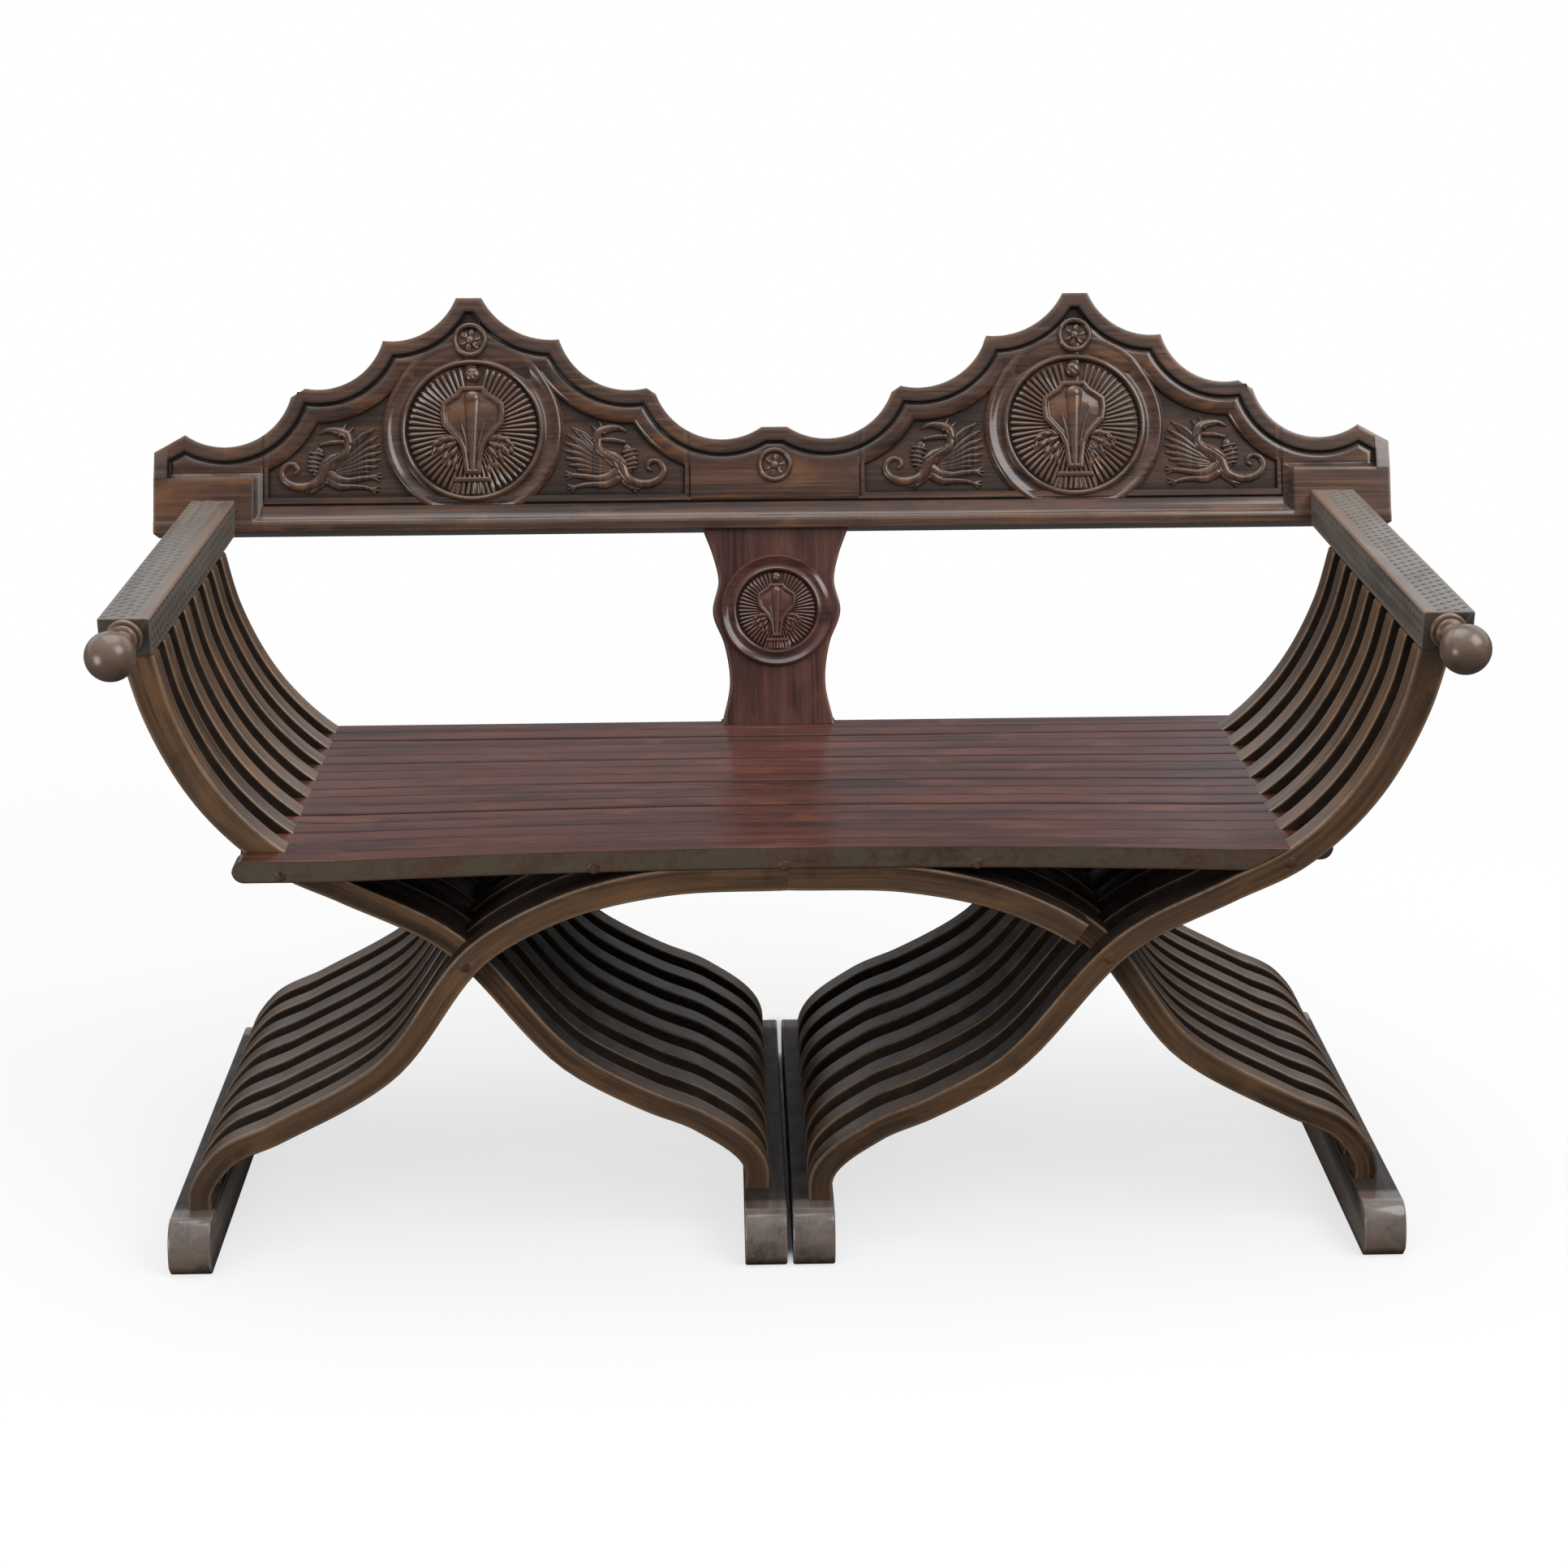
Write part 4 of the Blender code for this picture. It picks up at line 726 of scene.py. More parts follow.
@dataclass(frozen=True)
class Walnut:
    """A varnished walnut finish, with painted shade and painted edge highlight."""

    name: str
    dark: Colour
    mid: Colour
    light: Colour
    # worn: colour of edges paled by handling and by painted highlight.
    worn: Colour
    # wax: colour of painted shade, with old polish.
    wax: Colour = (0.010, 0.007, 0.006, 1.0)
    roughness: float = 0.34
    coat: float = 0.25
    coat_roughness: float = 0.14
    relief: float = 0.16
    rubbing: float = 0.7
    specular: float = 0.22
    own_grain: bool = True

    def material(self, effects: WoodEffects) -> bpy.types.Material:
        """Builds the material.

        Args:
            effects: The shader groups of the wood.

        Returns:
            The material.
        """
        material = bpy.data.materials.new(self.name)
        material.use_nodes = True
        graph = Graph(material.node_tree)
        shader = material.node_tree.nodes["Principled BSDF"]
        place = graph.node("ShaderNodeTexCoord").outputs["Object"]
        grain = graph.node("ShaderNodeAttribute", attribute_name="grain").outputs["Vector"]
        if not self.own_grain:
            x, y, z = graph.parts(place)
            grain = graph.xyz(y, x, z)
        wear = graph.node("ShaderNodeAttribute", attribute_name="wear").outputs["Fac"]
        shade = graph.node("ShaderNodeAttribute", attribute_name="shade").outputs["Fac"]
        figure = graph.node("ShaderNodeGroup", node_tree=effects.figure)
        for key, value in (("Grain", grain), ("Dark", self.dark), ("Mid", self.mid), ("Light", self.light)):
            graph.feed(figure.inputs[key], value)
        pale_edge_mask = graph.node("ShaderNodeGroup", node_tree=effects.rubbing)
        graph.feed(pale_edge_mask.inputs["Wear"], wear)
        graph.feed(pale_edge_mask.inputs["Place"], place)
        shade_and_wax_mask = graph.node("ShaderNodeGroup", node_tree=effects.dirt)
        graph.feed(shade_and_wax_mask.inputs["Shade"], shade)
        graph.feed(shade_and_wax_mask.inputs["Place"], place)
        # Edges paled by handling and by painted highlight, then painted shade with old polish over hollows, gaps and
        # shaded spots.
        colour = graph.blend(graph.math("MULTIPLY", pale_edge_mask.outputs[0], self.rubbing), figure.outputs["Colour"], self.worn)
        colour = graph.blend(graph.math("MULTIPLY", shade_and_wax_mask.outputs[0], 0.92), colour, self.wax)
        graph.feed(shader.inputs["Base Color"], colour)
        smears = graph.noise(place, 23.0, 4.0, 0.6)
        rough = graph.math("ADD", self.roughness - 0.08, graph.math("MULTIPLY", smears, 0.14))
        rough = graph.math("ADD", rough, graph.math("MULTIPLY", figure.outputs["Pores"], 0.10))
        rough = graph.math("ADD", rough, graph.math("MULTIPLY", shade_and_wax_mask.outputs[0], 0.32), clamp=True)
        graph.feed(shader.inputs["Roughness"], rough)
        ripple = graph.noise(graph.vector("MULTIPLY", grain, (9.0, 60.0, 60.0)), 1.0, 2.0)
        height = graph.math("SUBTRACT", graph.math("MULTIPLY", ripple, 0.8),
                            graph.math("MULTIPLY", figure.outputs["Pores"], 0.35))
        bump = graph.node("ShaderNodeBump", {"Height": height})
        bump.inputs["Strength"].default_value = self.relief
        bump.inputs["Distance"].default_value = 0.0012
        graph.feed(shader.inputs["Normal"], bump.outputs[0])
        # Coat thinned where shade is painted, so those spots lose their gloss too.
        unshaded = graph.math("SUBTRACT", 1.0, graph.math("MULTIPLY", shade_and_wax_mask.outputs[0], 0.85))
        graph.feed(shader.inputs["Coat Weight"], graph.math("MULTIPLY", unshaded, self.coat))
        shader.inputs["Coat Roughness"].default_value = self.coat_roughness
        shader.inputs["Specular IOR Level"].default_value = self.specular
        return material


SLAT = Walnut("slat_walnut", (0.040, 0.023, 0.014, 1.0), (0.118, 0.071, 0.042, 1.0), (0.225, 0.115, 0.054, 1.0),
              (0.32, 0.210, 0.130, 1.0), roughness=0.38, coat=0.62, coat_roughness=0.26, rubbing=0.8)
SEAT = Walnut("seat_walnut", (0.030, 0.008, 0.006, 1.0), (0.095, 0.027, 0.017, 1.0), (0.170, 0.055, 0.032, 1.0),
              (0.120, 0.098, 0.068, 1.0), roughness=0.30, coat=0.85, coat_roughness=0.20, rubbing=0.9)
# RUNNER's cool greyish tones, its pale edge colour most, are partly painted sky reflection on the toes.
RUNNER = Walnut("runner_walnut", (0.050, 0.038, 0.033, 1.0), (0.138, 0.103, 0.090, 1.0),
                (0.205, 0.138, 0.098, 1.0), (0.32, 0.275, 0.240, 1.0), roughness=0.34, coat=0.95)
# BAR's pale greyish tones are partly painted sky reflection on the arm bars, partly bleached wood.
BAR = Walnut("carved_walnut", (0.085, 0.073, 0.062, 1.0), (0.182, 0.154, 0.130, 1.0), (0.240, 0.200, 0.164, 1.0),
             (0.28, 0.140, 0.072, 1.0), roughness=0.38, coat=0.65, coat_roughness=0.28, rubbing=0.8)
ARM = Walnut("arm_walnut", (0.066, 0.042, 0.031, 1.0), (0.172, 0.113, 0.080, 1.0), (0.280, 0.178, 0.120, 1.0),
             (0.36, 0.165, 0.065, 1.0), roughness=0.34, coat=1.0, coat_roughness=0.25, rubbing=0.9)
ROD = Walnut("rod_walnut", (0.034, 0.017, 0.010, 1.0), (0.115, 0.060, 0.034, 1.0), (0.180, 0.100, 0.058, 1.0),
             (0.25, 0.16, 0.10, 1.0), own_grain=False)
CREST = Walnut("crest_walnut", (0.028, 0.016, 0.013, 1.0), (0.079, 0.043, 0.031, 1.0), (0.215, 0.094, 0.041, 1.0),
               (0.28, 0.185, 0.125, 1.0), roughness=0.30, coat=1.0, coat_roughness=0.13, rubbing=0.6)
SPLAT = Walnut("splat_walnut", (0.030, 0.011, 0.009, 1.0), (0.096, 0.036, 0.026, 1.0), (0.165, 0.066, 0.046, 1.0),
               (0.22, 0.125, 0.090, 1.0), roughness=0.27, coat=1.0, rubbing=0.55)


# Slatted legs and seat


@dataclass
class SlattedBase:
    """The planes of S-shaped slats, the boards of the seat, and the plugs over the rods."""

    planes: int = 16
    runner_top: float = 0.056
    seat_top: float = 0.453
    seat_bottom: float = 0.429
    arm_underside: float = 0.664
    gap: float = 0.0003
    arm_foot_x: float = 0.034
    arm_top_x: float = 0.648
    foot_x: float = 0.628
    seat_rod_x: float = 0.5165
    seat_rod_z: float = 0.437
    overhang: float = 0.0495
    arm_shares: tuple = ((0, .0554), (.0945, .2015), (.1840, .2645), (.2964, .3627), (.5358, .7607),
                         (.6906, .8854), (.7932, .9673), (.8876, 1.2038), (.9756, 1.7014))
    arm_widths: tuple = (0.0130, 0.0128, 0.0163)
    foot_shares: tuple = ((1, .0252), (.9554, .1461), (.8646, .2204), (.6815, .3892), (.4936, .7530),
                          (.3535, .8680), (.2054, .9240), (0, .9388))
    foot_widths: tuple = (0.0120, 0.0131, 0.0155)
    easing: float = 0.0018
    arch_end: float = 0.305
    seam: float = 0.0042
    bow: float = 0.0085
    plug_radius: float = 0.0058
    front: float = field(init=False)
    depth: float = field(init=False)
    pitch: float = field(init=False)
    cross_rod: Pair = field(init=False)

    def __post_init__(self) -> None:
        """Takes the place of the planes and rods from the solids."""
        rod_low, rod_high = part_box("rod_cross_R")
        self.cross_rod = ((rod_low.x + rod_high.x) / 2, (rod_low.z + rod_high.z) / 2)
        low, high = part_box("seat_slat_01")
        self.front = low.y
        self.depth = high.y - low.y
        self.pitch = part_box("seat_slat_02")[0].y - low.y

    def height(self, level: float) -> float:
        """Height of a level: 0 is the runners' top, 1 the seat's top, 2 the arms' underside."""
        if level <= 1.0:
            return self.runner_top + (self.seat_top - self.runner_top) * level
        return self.seat_top + (self.arm_underside - self.seat_top) * (level - 1.0)

    def arm_path(self) -> np.ndarray:
        """Centre line of the right arm slat, from the runner to the arm."""
        reach = self.arm_top_x - self.arm_foot_x
        nodes = [(self.arm_foot_x + reach * share, self.height(level)) for share, level in self.arm_shares]
        return smooth_path([(self.arm_foot_x, self.runner_top), *nodes, (self.arm_top_x, self.arm_underside)], 12)

    def foot_path(self) -> np.ndarray:
        """Centre line of the right foot slat, from the runner to the middle of the arch."""
        nodes = [(self.foot_x * share, self.height(level)) for share, level in self.foot_shares]
        return smooth_path([(self.foot_x, self.runner_top), *nodes], 12)

    def arm_slat(self) -> Shell:
        """One right arm slat at the plane y = 0, cut level at both ends."""
        path = self.arm_path()
        shell = strip(path, strip_half_widths(len(path), self.arm_widths), self.depth, self.easing, self.seat_bottom, 0.05)
        rings = shell.points.reshape(len(path), -1, 3)
        rings[0, :, 2] = self.runner_top + self.gap
        rings[-1, :, 2] = self.arm_underside - self.gap
        return shell

    def foot_slat(self) -> Shell:
        """One right foot slat at the plane y = 0, still to be planed under the seat."""
        path = self.foot_path()
        shell = strip(path, strip_half_widths(len(path), self.foot_widths), self.depth, self.easing, self.seat_bottom, 0.14)
        rings = shell.points.reshape(len(path), -1, 3)
        rings[0, :, 2] = self.runner_top + self.gap
        rings[-1, :, 0] = 0.00005
        return shell

    def arch(self) -> Shell:
        """The right half of the arch in an outer plane, from the middle to its square end."""
        path = self.foot_path()[::-1]
        half = strip_half_widths(len(path), self.foot_widths)[::-1]
        kept = path[:, 0] <= self.arch_end
        shell = strip(path[kept], half[kept], self.depth, self.easing, self.seat_bottom, 0.05)
        shell.points.reshape(int(kept.sum()), -1, 3)[0, :, 0] = 0.00005
        return shell

    def seat_slat(self) -> Shell:
        """One seat board of an even plane: a round nose at the left, a slant at the right.

        Returns:
            A closed shell with the middle of its depth at y = 0.
        """
        path = self.arm_path()
        edge = path + path_normals(path) * (strip_half_widths(len(path), self.arm_widths) + self.gap)[:, None]
        ease = 0.0011
        across, deep, add_across, add_deep, corner = eased_ring(ease)
        worn = np.where(deep * add_deep >= ease * 0.99, 1.0, 0.0)
        half = (self.seat_top - self.seat_bottom) / 2
        middle = self.seat_top - half
        nose = -(self.seat_rod_x + self.overhang)
        turns = np.linspace(0.06, np.pi / 2, 9)
        flats = np.linspace(nose + half, 0.0, 40)[1:]
        ends = np.linspace(0.0, 1.0, 34)[1:]
        rows = [(nose + half * (1 - math.cos(a)), half * math.sin(a), 0.0) for a in turns]
        rows += [(x, half, 0.0) for x in flats] + [(0.0, half, share) for share in ends]
        rings, wear = [], []
        for x, tall, share in rows:
            held = min(ease, tall * 0.6)
            z = across * (tall - held) + add_across * held / ease
            y = deep * (self.depth / 2 - ease) + add_deep
            end = np.interp(z + middle, edge[:, 1], edge[:, 0])
            rings.append(np.stack([x + end * share, y, z + middle], axis=1))
            wear.append(worn)
        rings = np.array(rings)
        grain = np.stack([rings[..., 0], rings[..., 2], rings[..., 1]], axis=-1)
        return loft(rings, grain, np.array(wear), np.broadcast_to(0.30 * corner, rings.shape[:2]))

    def plug(self) -> Shell:
        """One domed plug, its face to the front."""
        r = self.plug_radius
        profile = [(0.0, -0.003), (r, -0.003), (r, 0.0003), (r * 0.93, 0.0007), (r * 0.6, 0.0011), (0.0, 0.0013)]
        shell = lathe(profile, 20)
        turned = shell.points[:, [0, 2, 1]] * np.array([1.0, -1.0, 1.0])
        return Shell(turned, shell.faces, turned, shell.wear, shell.shade).outward()

    def build(self, growth: Growth, slat: bpy.types.Material, seat: bpy.types.Material,
              rod: bpy.types.Material) -> None:
        """Makes every slat, board and plug.

        Args:
            growth: The Geometry Nodes trees.
            slat: Finish of the S-shaped slats.
            seat: Finish of the seat's boards.
            rod: Finish of the plugs.
        """
        half_planes = self.planes // 2
        first_y = self.front + self.depth / 2
        bent = {"Bow": self.bow, "Bowed from": self.front}
        planed = {**bent, "Ceiling": self.seat_bottom - self.gap}
        boards = {**bent, "Bent": 1.0, "Seam": self.seam}
        gap_shade = {"Between": 1.0, "Thickness": self.depth}
        kinds = (("arm", self.arm_slat(), slat, gap_shade), ("foot", self.foot_slat(), slat, {**planed, **gap_shade}),
                 ("seat", self.seat_slat(), seat, boards))
        for kind, right, material, values in kinds:
            for side in Side:
                leads = (side is Side.RIGHT) == (kind != "foot")
                shell = right if side is Side.RIGHT else right.mirrored()
                name = f"{kind}_slats_{side.letter}"
                mesh = grown(name, shell.mesh(name + "_one"), growth.planes, {
                    "Count": half_planes, "First": first_y + (0.0 if leads else self.pitch), "Pitch": 2 * self.pitch,
                    "Open": 2 if leads else 6, "Ajar": 5 if leads else 3, "Seed": 3 + len(name) + side.value,
                    "Material": material, **values})
                mesh.set_sharp_from_angle(angle=math.radians(30.0))
                if kind == "seat":
                    nodes = [f"seat_slat_{2 * k + (1 if leads else 2):02d}" for k in range(half_planes)]
                else:
                    nodes = [f"{kind}_slat_{side.letter}_{k + 1}" for k in range(half_planes)]
                enter(as_piece(name, mesh, material), nodes)
        for name, plane, shell in (("arch_front", 0, self.arch()), ("arch_back", self.planes - 1, self.arch().mirrored())):
            mesh = grown(name, shell.mesh(name + "_one"), growth.planes, {
                "Count": 1, "First": first_y + plane * self.pitch, "Seed": 40 + plane, "Material": slat, **planed})
            mesh.set_sharp_from_angle(angle=math.radians(30.0))
            enter(as_piece(name, mesh, slat))
        self.build_plugs(growth, rod)

    def build_plugs(self, growth: Growth, rod: bpy.types.Material) -> None:
        """Makes the plugs over the rods, on the front and the back.

        Args:
            growth: The Geometry Nodes trees.
            rod: Finish of the plugs.
        """
        back = self.front + (self.planes - 1) * self.pitch + self.depth
        spots = [(-self.seat_rod_x, self.seat_rod_z), (self.seat_rod_x, self.seat_rod_z),
                 (-self.cross_rod[0], self.cross_rod[1]), self.cross_rod]
        seat_pins = [(-0.198, self.seat_rod_z + 0.004), (-0.004, self.seat_rod_z + 0.004), (0.194, self.seat_rod_z + 0.004)]
        shape = bpy.data.objects.new("plug_shape", self.plug().mesh("plug_shape"))
        for name, y, turn in (("plugs_front", self.front, 1.0), ("plugs_back", back, -1.0)):
            points = bpy.data.meshes.new(name + "_points")
            points.from_pydata([(x * turn, 0.0, z) for x, z in spots + seat_pins], [], [])
            mesh = grown(name, points, growth.row, {"Shape": shape, "Material": rod, "Unevenness": 0.05})
            mesh.transform(Matrix.Rotation(0.0 if turn > 0 else math.pi, 4, "Z"))
            mesh.transform(Matrix.Translation((0.0, y, 0.0)))
            enter(as_piece(name, mesh, rod))
        bpy.data.objects.remove(shape)


@dataclass
class Runners:
    """The four foot runners with bulging toes."""

    width: float = 0.045
    height: float = 0.056
    ledge: float = 0.018
    bulge: float = 0.027
    bevel_height: float = 0.010
    bevel_run: float = 0.007
    easing: float = 0.0022

    def profile(self, front: float, back: float) -> np.ndarray:
        """Side view from the front toe to the back one.

        Args:
            front: Depth of the first slat's face.
            back: Depth of the last slat's back.

        Returns:
            The closed outline in y and z.
        """
        toe = [(0.020, self.height), (0.004, self.height), (-0.004, self.height), (-0.010, self.height),
               (-self.ledge + 0.002, self.height)]
        for k in range(25):
            angle = math.pi / 2 * k / 24
            toe.append((-self.ledge - self.bulge * math.sin(angle),
                        self.bevel_height + (self.height - self.bevel_height) * math.cos(angle)))
        toe.append((-self.ledge - self.bulge + self.bevel_run, 0.0))
        toe = [(y + front, z) for y, z in toe]
        heel = [(front + back - y, z) for y, z in reversed(toe)]
        return np.array(toe + heel)

    def build(self, base: SlattedBase, material: bpy.types.Material) -> None:
        """Makes the runners where the solids are.

        Args:
            base: The slats that stand on them.
            material: Their finish.
        """
        nodes = ("runner_inner_L", "runner_inner_R", "runner_outer_L", "runner_outer_R")
        for number, node in enumerate(nodes, 1):
            low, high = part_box(node)
            outline = self.profile(base.front, base.front + base.planes * base.pitch)
            outline[:, 0] += (low.y + high.y) / 2 - outline[:, 0].mean()
            shell = plate(outline, self.width, self.easing)
            points = shell.points
            shell.points = np.stack([points[:, 2] + (low.x + high.x) / 2, points[:, 0], points[:, 1]], axis=1)
            shell.grain = shell.points[:, [1, 0, 2]] + 1.7 * number
            # The toe's front grows paler upwards with a pale line along its top edge: painted sky reflection and
            # highlight, with handling. Painted shade lies on the runner's top under the slats and on its lowest 10 mm.
            toe = np.abs(shell.points[:, 1] - (low.y + high.y) / 2) - (high.y - low.y) / 2 + self.bulge
            rise = points[:, 1] - self.bevel_height
            shell.wear = np.clip(0.6 * np.clip(rise / 0.024, 0.0, 1.0) * (toe > 0.0005) + ridge(toe, 0.0, 0.0016)
                                 + shell.wear * (toe > -0.004), 0.0, 1.0)
            shell.shade = np.clip(np.clip((-0.014 - toe) / 0.008, 0.0, 0.9) + (rise < -0.0005), 0.0, 0.9)
            name = node + "_walnut"
            enter(as_piece(name, shell.outward().mesh(name), material), [node])


# Raked back


@dataclass
class RakedPlane:
    """The plane of the back: across, up the rake and out of its face."""

    rake: float = math.radians(23.2)
    level: float = 0.750
    apex: float = 0.1872
    thickness: float = 0.030
    depth: float = field(init=False)

    def __post_init__(self) -> None:
        """Takes the plane's place from the crest rail's solid."""
        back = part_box("crest_rail")[1].y
        self.depth = back - self.apex * math.sin(self.rake) - self.thickness * math.cos(self.rake)

    def world(self, flat: np.ndarray) -> np.ndarray:
        """Moves points of the plane into the room.

        Args:
            flat: Points across, up and out, in the last axis.

        Returns:
            The same points in x, y and z.
        """
        sine, cosine = math.sin(self.rake), math.cos(self.rake)
        across, up, out = flat[..., 0], flat[..., 1], flat[..., 2]
        return np.stack([across, self.depth + up * sine - out * cosine,
                         self.level + up * cosine + out * sine], axis=-1)

    def dressed(self, shell: Shell) -> Shell:
        """A shell drawn on the plane, moved into the room."""
        grain = shell.grain if shell.grain is not None else shell.points
        return Shell(self.world(shell.points), shell.faces, grain, shell.wear, shell.shade)

    def move_mesh(self, mesh: bpy.types.Mesh, across: float, up: float, out: float) -> None:
        """Moves a mesh drawn flat at the origin to a place on the plane."""
        sine, cosine = math.sin(self.rake), math.cos(self.rake)
        turn = Matrix(((1, 0, 0, 0), (0, sine, -cosine, self.depth), (0, cosine, sine, self.level), (0, 0, 0, 1)))
        mesh.transform(turn @ Matrix.Translation((across, up, out)))


def ramp(value: np.ndarray, stops: list[Pair]) -> np.ndarray:
    """Reads a profile given as pairs of place and height, in millimetres.

    Args:
        value: Places in metres.
        stops: Place and height of each corner of the profile.

    Returns:
        Heights in metres.
    """
    places, heights = zip(*stops)
    return np.interp(value * 1000.0, places, heights) / 1000.0


def ridge(value: np.ndarray, centre: float, reach: float) -> np.ndarray:
    """A soft peak of height 1 round a place, both in metres."""
    return np.exp(-((value - centre) / reach) ** 2)


@dataclass
class CrestRail:
    """The carved rail: scalloped top, inlaid border, two sunk panels, rail and end blocks."""

    corners: tuple = ((0.0, .0305, 0.0), (.015, .0305, .032), (.139, .0705, 0.0), (.150, .078, .0235),
                      (.2525, .137, .016), (.3435, .1872, 0.0), (.3735, .1872, .017), (.4595, .137, .021),
                      (.5505, .081, 0.0), (.5675, .0705, .034), (.691, .027, 0.0), (.727, .0065, 0.0))
    bottom: float = -0.0903
    thickness: float = 0.030
    panel_inset: float = 0.039
    panel_inner: float = 0.1065
    panel_outer: float = 0.594
    panel_bottom: float = -0.0475
    block_inner: float = 0.613
    block_top: float = -0.0255
    panel_top: float = 0.095
    border: tuple = ((0.0, -1.8), (0.4, -0.6), (1.0, -0.12), (1.8, 0.0), (16.2, 0.0), (16.9, -0.9), (17.7, -3.2),
                     (18.6, -3.7), (19.8, -3.3), (21.4, -2.6), (23.0, -2.1), (24.6, -1.9), (40.0, -2.4))
    lip: tuple = ((0.0, -9.0), (0.3, -7.6), (0.9, -6.3), (1.8, -5.2), (3.0, -4.2), (4.6, -3.3), (6.8, -2.6),
                  (9.2, -2.3), (12.0, -2.1), (12.2, 9.0))
    fillet: tuple = ((0.0, -9.0), (0.25, -4.6), (0.9, -3.4), (5.0, -3.2), (5.5, -4.6), (6.5, -5.0), (7.1, -2.8),
                     (8.0, -2.2), (8.2, 9.0))
    foot: tuple = ((-90.3, 1.6), (-89.9, 3.6), (-88.8, 4.7), (-87.5, 5.0), (-77.4, 5.0), (-76.6, 4.6), (-76.0, 3.8),
                   (-75.2, 2.4), (-74.0, 1.2), (-72.4, 0.3), (-70.4, -0.4), (-67.6, -1.2), (-65.2, -1.8), (-58.8, -2.3),
                   (-58.2, -4.6), (-57.4, -6.6), (-56.4, -6.6), (-55.8, -4.0), (-55.0, -3.3), (-52.6, -3.2))
    block_side: tuple = ((600.0, -3.0), (601.2, -2.2), (603.6, -1.2), (606.0, 0.2), (608.4, 2.0), (610.4, 3.6),
                         (612.0, 4.8), (613.0, 5.0))
    block_ledge: tuple = ((18.5, -2.6), (19.6, -2.0), (21.0, -1.0), (22.4, 0.4), (23.8, 2.2), (24.8, 4.0),
                          (25.5, 4.85), (26.2, 5.0))
    circles: list = field(init=False)

    def __post_init__(self) -> None:
        """Works out the circles that the scallops follow."""
        self.circles = []
        for (x0, z0, depth), (x1, z1, _) in zip(self.corners, self.corners[1:]):
            if depth:
                chord = np.array([x1 - x0, z1 - z0])
                radius = (chord @ chord / 4 + depth ** 2) / (2 * depth)
                below = np.array([chord[1], -chord[0]]) / np.linalg.norm(chord)
                centre = np.array([x0 + x1, z0 + z1]) / 2 - below * (radius - depth)
                self.circles.append((float(centre[0]), float(centre[1]), float(radius)))

    def level(self, across: np.ndarray, inset: float) -> np.ndarray:
        """Height of the outline, drawn in by an inset.

        Args:
            across: Distances from the middle.
            inset: How far the outline is drawn in.

        Returns:
            Heights up the rake.
        """
        x = np.abs(across)
        top = np.full_like(x, self.corners[5][1] - inset)
        for cx, cz, radius in self.circles:
            inner = (radius + inset) ** 2 - (x - cx) ** 2
            top = np.minimum(top, np.where(inner > 0.0, cz - np.sqrt(np.maximum(inner, 0.0)), 9.0))
        top = np.where(x < self.corners[1][0] + inset, np.minimum(top, self.corners[0][1] - inset), top)
        (x0, z0, _), (x1, z1, _) = self.corners[-2:]
        fall = (z1 - z0) / (x1 - x0)
        top = np.minimum(top, z0 + fall * (x - x0) - inset * math.hypot(1.0, fall))
        if inset < 0.006:
            for i in (2, 8):
                (a0, b0, _), (a1, b1, _) = self.corners[i:i + 2]
                chamfer = b0 + (b1 - b0) * (x - a0) / (a1 - a0) - inset
                top = np.where((x >= a0) & (x <= a1), np.minimum(top, chamfer), top)
        return top

    def inset_of(self, across: np.ndarray, up: np.ndarray) -> np.ndarray:
        """How far points lie inside the scalloped outline."""
        x = np.abs(across)
        inset = self.corners[5][1] - up
        for cx, cz, radius in self.circles:
            inset = np.minimum(inset, np.hypot(x - cx, up - cz) - radius)
        return inset

    def columns(self) -> np.ndarray:
        """Distances from the middle at which the face has a column of points."""
        marks = [corner[0] for corner in self.corners] + [0.0]
        for edge, way in ((self.panel_inner, -1.0), (self.panel_outer, 1.0)):
            marks += [edge + way * e / 1000.0 for e, _ in self.fillet] + [edge - way * 0.0006]
        marks += [place / 1000.0 for place, _ in self.block_side]
        marks += [self.corners[-1][0] - d / 1000.0 for d, _ in self.border if d < 25.0]
        even = np.arange(0.0, self.corners[-1][0], 0.00125)
        every = np.unique(np.round(np.concatenate([even, marks]), 5))
        clear = [every[0]]
        fixed = set(np.round(marks, 5).tolist())
        for value in every[1:]:
            if value - clear[-1] < 0.00012:
                if value in fixed:
                    clear[-1] = value
                continue
            clear.append(value)
        half = np.array(clear)
        return np.concatenate([-half[:0:-1], half])

